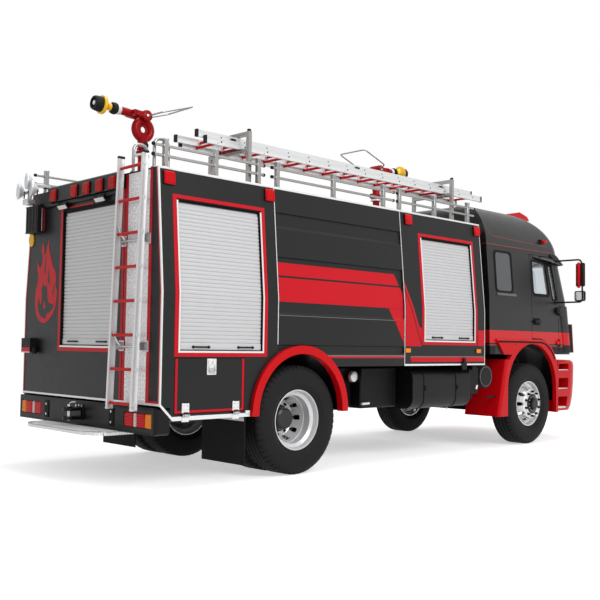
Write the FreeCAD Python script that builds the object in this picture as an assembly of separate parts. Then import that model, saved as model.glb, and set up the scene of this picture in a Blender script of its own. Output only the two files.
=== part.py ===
# Fire engine: two-axle truck with a tank and locker body, in millimetres.
# Built with x forward from the rear axle, y to the left, z up from the ground,
# then moved so that the middle of its length is at x = 0.

import FreeCAD
import Part
import math
import os

Vector = FreeCAD.Vector
Y_AXIS = Vector(0, 1, 0)

# Clearances
seat_gap = 0.3          # between pieces of one body that seat on each other
bearing_gap = 0.5       # radial, round a turning shaft
door_gap = 8.0          # round a door in its opening
lid_gap = 6.0           # round a flap door

# Overall reach and running gear
wheelbase = 4400.0
front_reach = wheelbase + 1400.0
rear_reach = 1990.0     # rear axle to the step's rear edge
body_half_width = 1245.0
axle_height = 538.0
tyre_radius = 538.0
tyre_width = 312.0
rim_flange_radius = 298.5
rim_seat_radius = 285.0
rim_well_radius = 250.0
rim_half_width = 124.0
rim_wall = 9.0
disc_offset = 175.0     # rim centre to the disc's mounting face
disc_wall = 12.0
hub_radius = 139.0
hand_hole_radius = 26.0
hand_hole_circle = 214.0
hand_hole_count = 10
front_tyre_y = body_half_width - 235.0
rear_outer_tyre_y = body_half_width - 169.0
dual_spacing = 2 * disc_offset
spindle_radius = 45.0
kingpin_y = front_tyre_y - 140.0
kingpin_radius = 24.0
knuckle_eye = 65.0      # half the height of the axle's eye
steering_arm_length = 210.0
steering_arm_end_y = kingpin_y - 85.0

# Chassis
rail_outer_y = 450.0
rail_flange = 80.0
rail_wall = 9.0
rail_bottom_z = 720.0
rail_top_z = 990.0
rail_rear_x = -1430.0
rail_front_x = wheelbase + 1000.0
cross_member_radius = 50.0
cross_member_xs = (-1300.0, -780.0, 780.0, 2000.0, 2900.0, rail_front_x - 150.0)
subframe_width = 70.0
subframe_rear_x = -1330.0
spring_y = 415.0
spring_width = 76.0
spring_half_length = 740.0
spring_pack = 54.0
spring_rise = 40.0

# Body modules
belt_z = 1724.0
roof_half_width = body_half_width - 99.0
roof_z = 2828.0
body_rear_x = -1684.0
seam_rear_x = -320.0
seam_front_x = 1625.0
body_front_x = wheelbase - 1205.0
floor_z = 1063.0
rear_panel_z = 736.0
skirt_z = 605.0
skirt_rear_x = -1549.0
module_wall = 40.0
shutter_recess = 16.0
shutter_wall = 12.0
slat_pitch = 37.0
slat_groove = 7.0
slat_depth = 4.0
rear_shutter_x = (-1483.0, -516.0)
rear_shutter_z = (1215.0, 2550.0)
front_shutter_x = (seam_front_x + 365.0, body_front_x - 225.0)
front_shutter_z = (1355.0, 2547.0)
back_shutter_half = 474.0
back_shutter_z = (1243.0, 2587.0)
bulkhead_half = 30.0
flap_x = (-1528.0, -739.0)
flap_z = (668.0, 1147.0)
flap_wall = 30.0
flap_locker_depth = 430.0
flap_hinge_xs = (flap_x[0] + 116.0, flap_x[1] - 100.0)
flap_hinge_y = body_half_width + 15.0
flap_hinge_z = flap_z[0] - 18.0
flap_barrel = 9.5
strap_height = 90.0
strap_wall = 10.0
header_x = 66.0
header_y = (-605.0, 715.0)
header_z = (2690.0, 2845.0)
deck_wall = 6.0
deck_inset = 26.0
deck_pad_x = (700.0, 1400.0)
deck_pad_y = (200.0, 900.0)
deck_pad_rise = 8.0
marker_half = 62.0
marker_z = 2735.0
marker_xs = (body_rear_x + 107.0, seam_rear_x - 65.0, seam_front_x + 135.0, body_front_x - 75.0)
header_lamp_ys = (568.0, 161.0, -66.0, -305.0, -529.0)
header_lamp_z = 2748.0
bead_depth = 16.0
bead_slope = 26.0
bead_bands = ((2420.0, 2580.0), (1571.0, 2140.0), (1190.0, 1280.0))

# Wheel arches
rear_arch_radius = 655.0
rear_arch_z = 620.0
rear_arch_lip = 82.0
rear_arch_proud = 36.0
rear_liner_wall = 28.0
rear_liner_inner_y = body_half_width - 700.0
front_arch_x = wheelbase - 20.0
front_arch_z = 733.0
front_arch_radius = 607.0
front_liner_x = wheelbase - 14.0
front_liner_z = 700.0
front_liner_radius = 636.0
fender_lip = 83.0
crown_bend = 480.0
front_fender_y = body_half_width - 30.0
front_fender_lip_y = front_fender_y - 55.0
front_fender_inner_y = 690.0
front_fender_rear = ((front_arch_x - 820.0, 400.0), (front_arch_x - 640.0, 1130.0))
front_fender_front_x = front_arch_x + 660.0
fender_corner = 60.0
fender_wall = 14.0
shoulder_z = (1195.0, 1400.0)
shoulder_rear_xs = (front_arch_x - 690.0, front_arch_x - 860.0)
shoulder_front_x = front_arch_x + 170.0
shoulder_slope = 26.0

# Cab
cab_rear_x = body_front_x + 195.0
cab_sill_z = 1200.0
cab_floor_z = 1400.0
cab_floor_wall = 40.0
cab_belt_z = 1950.0
cab_crease_z = 2615.0
cab_roof_z = 3172.0
cab_sill_half = body_half_width - 55.0
cab_belt_half = body_half_width - 65.0
cab_crease_half = body_half_width - 115.0
cab_front_x = front_reach - 150.0
cab_belt_front_x = front_reach - 265.0
cab_crease_front_x = front_reach - 450.0
cab_bow = 70.0
cab_corner = 230.0
cab_wall = 50.0
glass_wall = 6.0
glass_inset = 12.0
door_rear_x = wheelbase
door_front_x = wheelbase + 710.0
door_top_z = 2560.0
door_wall = 50.0
door_hinge_x = door_front_x - 4.0
door_hinge_y = cab_sill_half + 18.0
door_hinge_zs = (1360.0, 1800.0)
hinge_barrel = 12.0
hinge_pin = 6.0
hinge_leaf = 46.0
hinge_axial_gap = 5.5
running_gap = 0.06
cab_mount_xs = (cab_rear_x + 90.0, rail_front_x - 230.0)
cab_mount_length = 90.0
grille_half = 760.0
grille_z = (1330.0, 1900.0)
tunnel_half = 400.0
tunnel_top_z = 1560.0
tunnel_rear_x = cab_rear_x + 460.0
side_window_x = (cab_rear_x + 170.0, cab_rear_x + 560.0)
side_window = ((side_window_x[0], 2010.0), (side_window_x[1], 2010.0), (side_window_x[1] - 10.0, 2535.0),
               (side_window_x[0], 2535.0))
door_window = ((door_rear_x + 55.0, 2020.0), (door_rear_x + 475.0, 2020.0), (door_rear_x + 405.0, 2478.0),
               (door_rear_x + 55.0, 2478.0))
quarter_window = ((door_rear_x + 535.0, 1960.0), (door_rear_x + 670.0, 1960.0), (door_rear_x + 570.0, 2440.0),
                  (door_rear_x + 465.0, 2440.0))
windscreen_half = cab_crease_half - 150.0
windscreen_z = (1985.0, 2560.0)

# Front bumper with the entry steps
bumper_rear_x = front_fender_front_x + 14.0
bumper_half = body_half_width - 35.0
bumper_corner = 340.0
bumper_wall = 70.0
bumper_sections = ((410.0, 60.0), (470.0, 36.0), (600.0, 16.0), (800.0, 4.0), (1045.0, 0.0), (1095.0, 12.0), (1120.0, 40.0))
headlamp_y = (690.0, 960.0)
headlamp_z = (800.0, 950.0)
headlamp_depth = 40.0
step_well_x = (bumper_rear_x + 16.0, bumper_rear_x + 286.0)
step_well_depth = 165.0
step_levels = (460.0, 720.0, 980.0)
step_well_height = 150.0
top_well_height = 90.0

# Rear bumper and step
rear_bumper_x = 1722.0
rear_bumper_depth = 150.0
rear_bumper_half = body_half_width
rear_bumper_z = (484.0, 720.0)
rear_bumper_round = 36.0
tow_jaw_x = -1835.0
tow_jaw_z = 602.0
tow_jaw_height = 110.0
tow_jaw_mouth = 56.0
tow_jaw_half = 62.0
tow_pin_radius = 20.3
tail_lamp_width = 430.0
tail_lamp_height = 128.0
tail_lamp_inner_y = 755.0
rear_step_half = 690.0
rear_step_lip = 32.0
rear_step_corner = 240.0

# Roof gear
rail_tube = 14.0
post_tube = 20.0
roof_rail_y = roof_half_width - 61.0
roof_rail_low_z = 2943.0
roof_rail_high_z = 3035.0
roof_post_top_z = 3096.0
roof_rail_sections = ((-1700.0, -395.0, (-1570.0, -1000.0, -469.0)),
                      (-290.0, 1590.0, (-218.0, 594.0, 1406.0)),
                      (seam_front_x + 30.0, body_front_x - 15.0, (1689.0, 2350.0, body_front_x - 164.0)))
gantry_xs = (-540.0, 2790.0)
gantry_post = 40.0
gantry_outer_y = 124.0 - roof_half_width
gantry_inner_y = gantry_outer_y + 592.0
gantry_rest_z = 3198.0
gantry_arm_z = 3342.0
gantry_arm_end_y = gantry_outer_y + 412.0
stile_height = 70.0
stile_width = 26.0
rung_radius = 14.0
rung_pitch = 300.0
ladder_y = gantry_outer_y + 332.0
outer_section_half = 200.0
inner_section_half = 168.0
outer_section_x = (-980.0, body_front_x + 415.0)
inner_section_x = (-1060.0, body_front_x + 235.0)
inner_section_rise = stile_height / 2 + rung_radius + seat_gap
back_ladder_y = (-1025.0, -640.0)
back_ladder_bottom = (body_rear_x - 118.0, 690.0)
back_ladder_top = (body_rear_x - 56.0, 2975.0)
back_ladder_stays = (1250.0, 2200.0)
back_stile_depth = 62.0
back_rung_count = 8
back_rung_first_z = 741.0
grab_rail_ys = (-1030.0, -700.0)
grab_rail_x = (body_rear_x + 34.0, body_rear_x + 184.0)
grab_rail_top_z = 3100.0
grab_tube = 15.0
grab_bend = 60.0

# Roof monitors
monitor_xs = (-1090.0, 2540.0)
monitor_flange_z = 3216.0
monitor_ring_z = 3448.0
monitor_ring_radius = 92.0
monitor_ring_tube = 40.0
monitor_pivot_z = 3580.0
monitor_pivot_radius = 60.0
monitor_pivot_half = 62.0
monitor_web_hole = 31.0
monitor_web_wall = 22.0
monitor_yoke_wall = 26.0
monitor_neck_radius = 54.0
monitor_collar_radius = 66.0
monitor_reach = 580.0
monitor_rise_deg = 3.5
handle_rise_deg = 19.0
handle_length = 500.0
handle_half = 215.0
handle_tube = 9.0
riser_radius = 44.0
riser_flange_radius = 72.0
riser_foot_radius = 120.0

# Light mast
mast_x = body_rear_x + 84.0
mast_y = body_half_width - 240.0
mast_radius = 32.0
mast_tube_wall = 8.0
mast_length = 1500.0
mast_head_z = 2905.0
mast_head_x = body_rear_x - 111.0
mast_lamp_radius = 84.0
mast_lamps = ((mast_y + 150.0, 2850.0), (mast_y - 30.0, 2938.0), (mast_y - 135.0, 2852.0))
mast_lamp_turn = 16.0
mast_box_z = (2700.0, 2760.0)

# Mirrors
mirror_x = door_front_x - 80.0
mirror_arm_y = cab_sill_half + 400.0
mirror_arm_z = (1925.0, 2505.0)
mirror_top_z = (2120.0, 2470.0)
mirror_low_z = (1935.0, 2080.0)
mirror_width = 200.0
mirror_depth = 90.0

# Fuel tank, air filter and silencer
fuel_tank_x = (seam_front_x + 225.0, body_front_x - 210.0)
fuel_tank_y = (640.0, body_half_width - 65.0)
fuel_tank_z = (560.0, 1030.0)
fuel_tank_corner = 130.0
air_filter_x = cab_rear_x
air_filter_z = 915.0
air_filter_radius = 145.0
air_filter_y = (760.0, body_half_width - 115.0)
battery_x = (seam_front_x + 225.0, seam_front_x + 1025.0)
battery_y = (660.0, body_half_width - 95.0)
battery_z = (600.0, 960.0)
silencer_x = (body_front_x - 295.0, body_front_x + 290.0)
silencer_y = 880.0
silencer_z = 740.0
silencer_radius = 170.0
silencer_pipe = 45.0

# Engine and gearbox
engine_x = (wheelbase - 350.0, wheelbase + 750.0)
engine_half = 345.0
engine_z = (640.0, 1480.0)
gearbox_length = 700.0
gearbox_half = 230.0
gearbox_top_z = 1050.0
shaft_radius = 45.0

# Seats, dashboard and light bar
seat_y = 720.0
seat_half = 240.0
seat_rear_x = wheelbase
seat_length = 440.0
seat_rise = 300.0
seat_pad = 130.0
back_rise = 1080.0
bench_half = 1000.0
bench_x = (cab_rear_x + 90.0, cab_rear_x + 610.0)
dash_x = cab_belt_front_x - 350.0
wheel_centre = (dash_x - 145.0, 1990.0)
wheel_radius = 220.0
light_bar_half = 630.0
light_bar_x = wheelbase + 150.0

parts = {}


def block(x0, x1, y0, y1, z0, z1):
    return Part.makeBox(x1 - x0, y1 - y0, z1 - z0, Vector(x0, y0, z0))


def rod(start, end, radius):
    start, end = Vector(*start), Vector(*end)
    return Part.makeCylinder(radius, (end - start).Length, start, end - start)


def face(points):
    return Part.Face(Part.makePolygon(points + [points[0]]))


def side_outline(outline, y0, y1):
    """A polygon of (x, z) points pulled from y0 to y1."""
    return face([Vector(x, y0, z) for x, z in outline]).extrude(Vector(0, y1 - y0, 0))


def cross_outline(outline, x0, x1):
    """A polygon of (y, z) points pulled from x0 to x1."""
    return face([Vector(x0, y, z) for y, z in outline]).extrude(Vector(x1 - x0, 0, 0))


def spin_y(profile, x, z):
    """A closed profile of (radius, y) points turned about the line (x, z) along y."""
    flat = face([Vector(x + r, y, z) for r, y in profile])
    return flat.revolve(Vector(x, 0, z), Y_AXIS, 360)


def spin_z(profile, x, y):
    """A closed profile of (radius, z) points turned about the upright line (x, y)."""
    flat = face([Vector(x + r, y, z) for r, z in profile])
    return flat.revolve(Vector(x, y, 0), Vector(0, 0, 1), 360)


def fused(shapes):
    solid = shapes[0].multiFuse(shapes[1:]) if len(shapes) > 1 else shapes[0]
    return solid.removeSplitter()


def mirrored(shape):
    return shape.mirror(Vector(0, 0, 0), Y_AXIS)


def both_sides(shape):
    return Part.makeCompound([shape, mirrored(shape)])


def bent_tube(points, radius, bend):
    """A round tube along straight runs, with its corners bent to one radius."""
    points = [Vector(*p) for p in points]
    edges = []
    last = points[0]
    for before, corner, after in zip(points, points[1:], points[2:]):
        back = (before - corner).normalize()
        on = (after - corner).normalize()
        half = back.getAngle(on) / 2
        reach = bend / math.tan(half)
        first, second = corner + back * reach, corner + on * reach
        inward = (back + on).normalize()
        middle = corner + inward * (bend / math.sin(half) - bend)
        edges.append(Part.LineSegment(last, first).toShape())
        edges.append(Part.Arc(first, middle, second).toShape())
        last = second
    edges.append(Part.LineSegment(last, points[-1]).toShape())
    path = Part.Wire(edges)
    ring = Part.Wire(Part.Circle(points[0], points[1] - points[0], radius).toShape())
    return path.makePipeShell([ring], True, False)


def body_side(z):
    """Half the body's width at a height: upright to the belt, then leaning in."""
    if z <= belt_z:
        return body_half_width
    lean = (body_half_width - roof_half_width) / (roof_z - belt_z)
    return body_half_width - (z - belt_z) * lean


def body_prism(x0, x1, inset, z0, z1):
    heights = [z0, belt_z, z1] if z0 < belt_z < z1 else [z0, z1]
    left = [(body_side(z) - inset, z) for z in heights]
    right = [(-y, z) for y, z in reversed(left)]
    return cross_outline(left + right, x0, x1)


def arch_cutter(x, z, radius):
    """A cylinder across the truck with everything below it."""
    reach = body_half_width + 100
    wheel = rod((x, -reach, z), (x, reach, z), radius)
    return wheel.fuse(block(x - radius, x + radius, -reach, reach, 0, z))


def side_opening(x_range, z_range, reach):
    """A cutter for an opening in both side walls."""
    return block(x_range[0], x_range[1], -reach, reach, z_range[0], z_range[1])


def rear_arch_cut(extra):
    return arch_cutter(0, rear_arch_z, rear_arch_radius + extra)


def make_rear_module():
    outer = body_prism(body_rear_x, seam_rear_x, 0, skirt_z, roof_z)
    hold = body_prism(body_rear_x + module_wall, seam_rear_x - module_wall, module_wall,
                      floor_z + module_wall, roof_z - module_wall)
    inner_y = body_half_width - flap_locker_depth
    under = block(body_rear_x + module_wall, seam_rear_x, -inner_y + module_wall,
                  inner_y - module_wall, 0, floor_z)
    side_doorway = side_opening(rear_shutter_x, rear_shutter_z, body_half_width + 10)
    back_doorway = block(body_rear_x - 10, body_rear_x + module_wall + 10,
                         -back_shutter_half, back_shutter_half, *back_shutter_z)
    shape = outer.cut([hold, under, rear_arch_cut(seat_gap), side_doorway, back_doorway])
    locker = block(flap_x[0] + module_wall, flap_x[1] - module_wall, inner_y, body_half_width + 10,
                   flap_z[0] + module_wall, floor_z)
    doorway = block(flap_x[0] - lid_gap, flap_x[1] + lid_gap,
                    body_half_width - flap_wall - seat_gap, body_half_width + 10,
                    flap_z[0] - lid_gap, flap_z[1] + lid_gap)
    shape = shape.cut([locker, mirrored(locker), doorway, mirrored(doorway)])
    chamfer = [(body_rear_x - 1, rear_panel_z), (skirt_rear_x, skirt_z - 1), (body_rear_x - 1, skirt_z - 1)]
    shape = shape.cut(side_outline(chamfer, -body_half_width - 1, body_half_width + 1))
    notch = block(body_rear_x - 1, body_rear_x + module_wall + 1, -inner_y + module_wall,
                  inner_y - module_wall, 0, rear_panel_z)
    header = block(body_rear_x - header_x, body_rear_x, *header_y, *header_z)
    header = header.makeChamfer(14, [e for e in header.Edges if abs(e.CenterOfMass.x - body_rear_x) > 1])
    bumper = block(body_rear_x - 10, rear_bumper_depth - rear_bumper_x + 1,
                   -body_half_width - 1, body_half_width + 1, 0, rear_bumper_z[1] + 1)
    lugs = flap_hinges(False)
    shape = shape.cut([notch, bumper, mast_hole()])
    return fused([shape, header] + lugs + [mirrored(lug) for lug in lugs])


def mast_hole():
    return rod((mast_x, mast_y, roof_z - 200), (mast_x, mast_y, roof_z + 100), mast_radius + mast_tube_wall + seat_gap)


def flap_hinges(on_flap):
    """Hinges along a flap's lower edge: barrel and strap are the flap's, pin and lugs the module's."""
    y, z = flap_hinge_y, flap_hinge_z
    half = hinge_leaf / 2
    start = half + hinge_axial_gap
    pieces = []
    for x in flap_hinge_xs:
        if on_flap:
            strap = block(x - half, x + half, body_half_width - 1, body_half_width + strap_wall,
                          flap_z[0], flap_z[0] + strap_height)
            link = block(x - half, x + half, body_half_width + lid_gap, y, z, flap_z[0] + strap_wall)
            barrel = rod((x - half, y, z), (x + half, y, z), flap_barrel)
            bore = rod((x - half - 1, y, z), (x + half + 1, y, z), hinge_pin + running_gap)
            pieces.append(fused([strap, link, barrel]).cut(bore))
        else:
            end = start + half / 2
            lugs = [rod((x - end, y, z), (x + end, y, z), hinge_pin)]
            for low in (x - end, x + start):
                lugs.append(rod((low, y, z), (low + half / 2, y, z), flap_barrel))
                lugs.append(block(low, low + half / 2, body_half_width - 1, y, z - flap_barrel, z + flap_barrel))
            pieces.append(fused(lugs))
    return pieces


def make_flap():
    panel = block(flap_x[0], flap_x[1], body_half_width - flap_wall, body_half_width, flap_z[0], flap_z[1])
    return fused([panel] + flap_hinges(True))


def make_tank_module():
    half = [(body_side(floor_z), floor_z)]
    for low, high in reversed(bead_bands):
        half.append((body_side(low), low))
        half.append((body_side(low) - bead_depth, low + bead_slope))
        half.append((body_side(high) - bead_depth, high - bead_slope / 4))
        half.append((body_side(high), high))
        if low < belt_z < high:
            half.insert(-2, (body_side(belt_z) - bead_depth, belt_z))
    half.append((body_side(roof_z), roof_z))
    outline = half + [(-y, z) for y, z in reversed(half)]
    shape = cross_outline(outline, seam_rear_x, seam_front_x)
    return shape.cut(rear_arch_cut(seat_gap))


def make_front_module():
    outer = body_prism(seam_front_x, body_front_x, 0, floor_z, roof_z)
    shape = outer
    for side in (1, -1):
        hold = body_prism(seam_front_x + module_wall, body_front_x - module_wall, module_wall,
                          floor_z + module_wall, roof_z - module_wall)
        low_y, high_y = sorted((side * bulkhead_half, side * body_half_width))
        half = block(seam_front_x, body_front_x, low_y, high_y, 0, roof_z)
        shape = shape.cut(hold.common(half))
    return shape.cut(side_opening(front_shutter_x, front_shutter_z, body_half_width + 10))


def slat_face(z0, z1):
    """Points (depth, z) up a curtain's face, with a groove at each slat's joint."""
    points = [(0, z0)]
    for index in range(1, int((z1 - z0) // slat_pitch) + 1):
        z = z0 + index * slat_pitch
        if z < z1 - slat_groove:
            points += [(0, z - slat_groove), (slat_depth, z - slat_groove / 2), (0, z)]
    return points + [(0, z1)]


def side_shutter(x_range, z_range):
    """A slatted curtain on each side that follows the body's side, in its opening."""
    x0, x1 = x_range[0] + seat_gap, x_range[1] - seat_gap
    z0, z1 = z_range[0] + seat_gap, z_range[1] - seat_gap
    outer = [(body_side(z) - shutter_recess - depth, z) for depth, z in slat_face(z0, z1)]
    inner = [(body_side(z) - shutter_recess - shutter_wall, z) for z in (z1, belt_z, z0)]
    curtain = cross_outline(outer + inner, x0, x1)
    return [curtain, mirrored(curtain)]


def make_shutters():
    half = back_shutter_half - seat_gap
    z0, z1 = back_shutter_z[0] + seat_gap, back_shutter_z[1] - seat_gap
    face_x = body_rear_x + shutter_recess
    outline = [(face_x + depth, z) for depth, z in slat_face(z0, z1)]
    back = side_outline(outline + [(face_x + shutter_wall, z1), (face_x + shutter_wall, z0)], -half, half)
    sides = side_shutter(rear_shutter_x, rear_shutter_z) + side_shutter(front_shutter_x, front_shutter_z)
    return Part.makeCompound(sides + [back])


def make_chassis():
    inner = rail_outer_y - rail_flange
    web = rail_outer_y - rail_wall
    section = [(rail_outer_y, rail_bottom_z), (rail_outer_y, rail_top_z), (inner, rail_top_z),
               (inner, rail_top_z - rail_wall), (web, rail_top_z - rail_wall),
               (web, rail_bottom_z + rail_wall), (inner, rail_bottom_z + rail_wall), (inner, rail_bottom_z)]
    pieces = []
    for side in (1, -1):
        pieces.append(cross_outline([(side * y, z) for y, z in section], rail_rear_x, rail_front_x))
        low_y, high_y = sorted((side * (rail_outer_y - subframe_width), side * rail_outer_y))
        pieces.append(block(subframe_rear_x, body_front_x, low_y, high_y, rail_top_z, floor_z - seat_gap))
    middle = (rail_bottom_z + rail_top_z) / 2
    for x in cab_mount_xs:
        for s in (1, -1):
            low_y, high_y = sorted((s * (rail_outer_y - subframe_width), s * rail_outer_y))
            pieces.append(block(x, x + cab_mount_length, low_y, high_y, rail_top_z,
                                cab_floor_z - cab_floor_wall - seat_gap))
    for x in cross_member_xs:
        pieces.append(rod((x, -web - 2, middle), (x, web + 2, middle), cross_member_radius))
    return fused(pieces)


def make_spring(x, seat_z):
    """A leaf pack, arched between its eyes, with the two eye hangers."""
    leaves = []
    for index, share in enumerate((1.0, 0.8, 0.58)):
        thick = spring_pack / 3
        top = seat_z + spring_pack - index * thick
        reach = spring_half_length * share
        rise = spring_rise * share * share
        upper = Part.Arc(Vector(x - reach, 0, top + rise), Vector(x, 0, top), Vector(x + reach, 0, top + rise))
        lower = Part.Arc(Vector(x - reach, 0, top + rise - thick), Vector(x, 0, top - thick),
                         Vector(x + reach, 0, top + rise - thick))
        ends = [Part.makeLine(Vector(x + s * reach, 0, top + rise), Vector(x + s * reach, 0, top + rise - thick))
                for s in (-1, 1)]
        wire = Part.Wire(Part.__sortEdges__([upper.toShape(), lower.toShape()] + ends))
        leaf = Part.Face(wire).extrude(Vector(0, spring_width, 0))
        leaf.translate(Vector(0, spring_y - spring_width / 2, 0))
        leaves.append(leaf)
    eye_z = seat_z + spring_pack + spring_rise - spring_pack / 6
    hanger = 0.5 * spring_width
    for s in (-1, 1):
        eye_x = x + s * spring_half_length
        leaves.append(rod((eye_x, spring_y - hanger, eye_z), (eye_x, spring_y + hanger, eye_z), 26))
        leaves.append(block(eye_x - 22, eye_x + 22, spring_y - hanger, spring_y + hanger,
                            eye_z, rail_bottom_z - seat_gap))
    return leaves


def make_rear_axle():
    tube = rod((0, -rear_inner_y() + 60, axle_height), (0, rear_inner_y() - 60, axle_height), 68)
    spindle = rod((0, -spindle_end(), axle_height), (0, spindle_end(), axle_height), spindle_radius)
    housing = Part.makeSphere(205, Vector(0, 0, axle_height))
    nose = rod((0, 0, axle_height), (330, 0, axle_height + 30), 95)
    seat_z = axle_height + 60
    pads = []
    for side in (1, -1):
        low_y, high_y = sorted((side * (spring_y - 44), side * (spring_y + 44)))
        pads.append(block(-70, 70, low_y, high_y, axle_height, seat_z + 8))
    springs = make_spring(0, seat_z)
    springs += [mirrored(s) for s in springs]
    return fused([tube, spindle, housing, nose] + pads + springs)


def rear_inner_y():
    return rear_outer_tyre_y - dual_spacing - tyre_width / 2


def spindle_end():
    return rear_outer_tyre_y - disc_offset + 60


def make_front_axle():
    """A dropped beam with an eye at each end for the kingpin, and its springs."""
    x = wheelbase
    low, high = axle_height - 130, axle_height - 40
    eye_low, eye_high = axle_height - knuckle_eye, axle_height + knuckle_eye
    arm_clear_y = kingpin_y - 160
    half = [(0, low), (arm_clear_y - 150, low), (arm_clear_y, eye_low), (kingpin_y - 40, eye_low),
            (kingpin_y - 40, eye_high), (kingpin_y - 270, high), (0, high)]
    beam = [cross_outline([(s * y, z) for y, z in half], x - 45, x + 45) for s in (1, -1)]
    eyes = []
    for side in (1, -1):
        eye = rod((x, side * kingpin_y, eye_low), (x, side * kingpin_y, eye_high), 52)
        bore = rod((x, side * kingpin_y, eye_low - 1), (x, side * kingpin_y, eye_high + 1),
                   kingpin_radius + bearing_gap)
        eyes.append((eye, bore))
    springs = make_spring(x, high - 3)
    springs += [mirrored(s) for s in springs]
    solid = fused(beam + [eye for eye, bore in eyes] + springs)
    return solid.cut([bore for eye, bore in eyes])


def make_knuckle(side):
    """Fork round the axle's eye, kingpin, wheel spindle and steering arm."""
    x, y = wheelbase, kingpin_y
    ear_low, ear_high = axle_height - 95, axle_height + 95
    gap = 4.0
    pieces = [rod((x, y, ear_low), (x, y, ear_high), kingpin_radius)]
    for low, high in ((ear_low, axle_height - knuckle_eye - gap), (axle_height + knuckle_eye + gap, ear_high)):
        pieces.append(rod((x, y, low), (x, y, high), 50))
        pieces.append(block(x - 50, x + 50, y, y + 92, low, high))
    pieces.append(block(x - 50, x + 50, y + 60, y + 92, ear_low, ear_high))
    pieces.append(rod((x, y + 60, axle_height), (x, front_spindle_end(), axle_height), spindle_radius))
    arm_end = x - steering_arm_length
    plan = [(x - 30, y - 30), (x + 30, y - 10), (x - 10, y + 34), (arm_end, steering_arm_end_y + 22),
            (arm_end, steering_arm_end_y - 22)]
    pieces.append(face([Vector(px, py, ear_low) for px, py in plan]).extrude(Vector(0, 0, 24)))
    pieces.append(rod((arm_end, steering_arm_end_y, ear_low), (arm_end, steering_arm_end_y, ear_low + 24), 30))
    knuckle = fused(pieces)
    return knuckle if side > 0 else mirrored(knuckle)


def front_spindle_end():
    return front_tyre_y + 60


def make_tie_rod():
    x = wheelbase - steering_arm_length
    z = axle_height - 95 - 18 - seat_gap - 0.2
    y = steering_arm_end_y
    bar = rod((x, -y, z), (x, y, z), 17)
    ends = [rod((x, s * y, z - 18), (x, s * y, z + 18), 26) for s in (1, -1)]
    return fused([bar] + ends)


def make_tyre(y):
    """A tyre's closed profile as (radius, y) points, without its tread pattern."""
    half = tyre_width / 2
    bead = rim_half_width - 12 - seat_gap
    right = [(rim_seat_radius + seat_gap, bead), (rim_flange_radius + seat_gap, bead), (tyre_radius * 0.66, half - 3),
             (tyre_radius * 0.88, half), (tyre_radius, half - 50)]
    profile = right + [(radius, -along) for radius, along in reversed(right)]
    return [(radius, y + along) for radius, along in profile]


def make_rim(y, outward):
    """Rim barrel and disc about its centre at y; the disc's face looks along outward."""
    wall = rim_wall
    flange, seat, well, half = rim_flange_radius, rim_seat_radius, rim_well_radius, rim_half_width
    barrel = [(flange, -half), (seat, -half + 12), (seat - 2, -70), (well, -52), (well, 34), (seat - 2, 56),
              (seat, half - 12), (flange, half), (flange - wall, half), (seat - 2 - wall, 60),
              (well - wall, 38), (well - wall, -56), (seat - 2 - wall, -74), (flange - wall, -half)]
    face_a = disc_offset
    disc = [(well - wall / 2, 30), (well - wall / 2, 52), (226, 96), (196, face_a - 14), (176, face_a),
            (hub_radius + seat_gap, face_a), (hub_radius + seat_gap, face_a - disc_wall),
            (172, face_a - disc_wall), (188, face_a - 24), (215, 88), (well - wall - 8, 30)]
    turned = [spin_y([(r, y + outward * a) for r, a in profile], 0, 0) for profile in (barrel, disc)]
    solid = fused(turned)
    holes = []
    for index in range(hand_hole_count):
        angle = 2 * math.pi * index / hand_hole_count
        hx, hz = hand_hole_circle * math.cos(angle), hand_hole_circle * math.sin(angle)
        holes.append(rod((hx, y + outward * 70, hz), (hx, y + outward * 200, hz), hand_hole_radius))
    return solid.cut(holes)


def hub(profile, y0, bore_depth):
    """A hub turned about the axle, with a blind bore for the spindle."""
    solid = spin_y([(r, a) for r, a in profile], 0, 0)
    return solid.cut(rod((0, y0 - 1, 0), (0, bore_depth, 0), spindle_radius + bearing_gap))


def place_wheel(shape, x, side):
    wheel = shape.copy()
    wheel.translate(Vector(x, 0, axle_height))
    return wheel if side > 0 else mirrored(wheel)


def make_front_rim():
    rim = make_rim(front_tyre_y, 1)
    face_y = front_tyre_y + disc_offset
    inner = kingpin_y + 100
    profile = [(1, inner), (120, inner), (120, face_y - 60), (160, face_y - disc_wall - 24),
               (160, face_y - disc_wall), (hub_radius, face_y - disc_wall), (hub_radius, face_y + 6),
               (84, face_y + 16), (78, face_y + 46), (60, face_y + 54), (1, face_y + 54)]
    return fused([rim, hub(profile, inner, front_spindle_end() + 10)])


def make_rear_rims():
    outer = make_rim(rear_outer_tyre_y, -1)
    inner = make_rim(rear_outer_tyre_y - dual_spacing, 1)
    face_y = rear_outer_tyre_y - disc_offset
    start = rear_inner_y() + 80
    profile = [(1, start), (112, start), (112, face_y - 66), (160, face_y - disc_wall - 30),
               (160, face_y - disc_wall), (hub_radius, face_y - disc_wall), (hub_radius, face_y + 20),
               (112, face_y + 34), (106, face_y + 120), (88, face_y + 132), (1, face_y + 132)]
    return fused([outer, inner, hub(profile, start, spindle_end() + 6)])


def arch_band(x, z, inner, outer, y0, y1, bottom_z):
    """A half ring with straight legs down to bottom_z."""
    ring = rod((x, y0, z), (x, y1, z), outer).cut(rod((x, y0 - 1, z), (x, y1 + 1, z), inner))
    ring = ring.common(block(x - outer, x + outer, y0, y1, z, z + outer))
    legs = [block(x + s * (inner + outer) / 2 - (outer - inner) / 2, x + s * (inner + outer) / 2
                  + (outer - inner) / 2, y0, y1, bottom_z, z) for s in (-1, 1)]
    return fused([ring] + legs)


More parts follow.
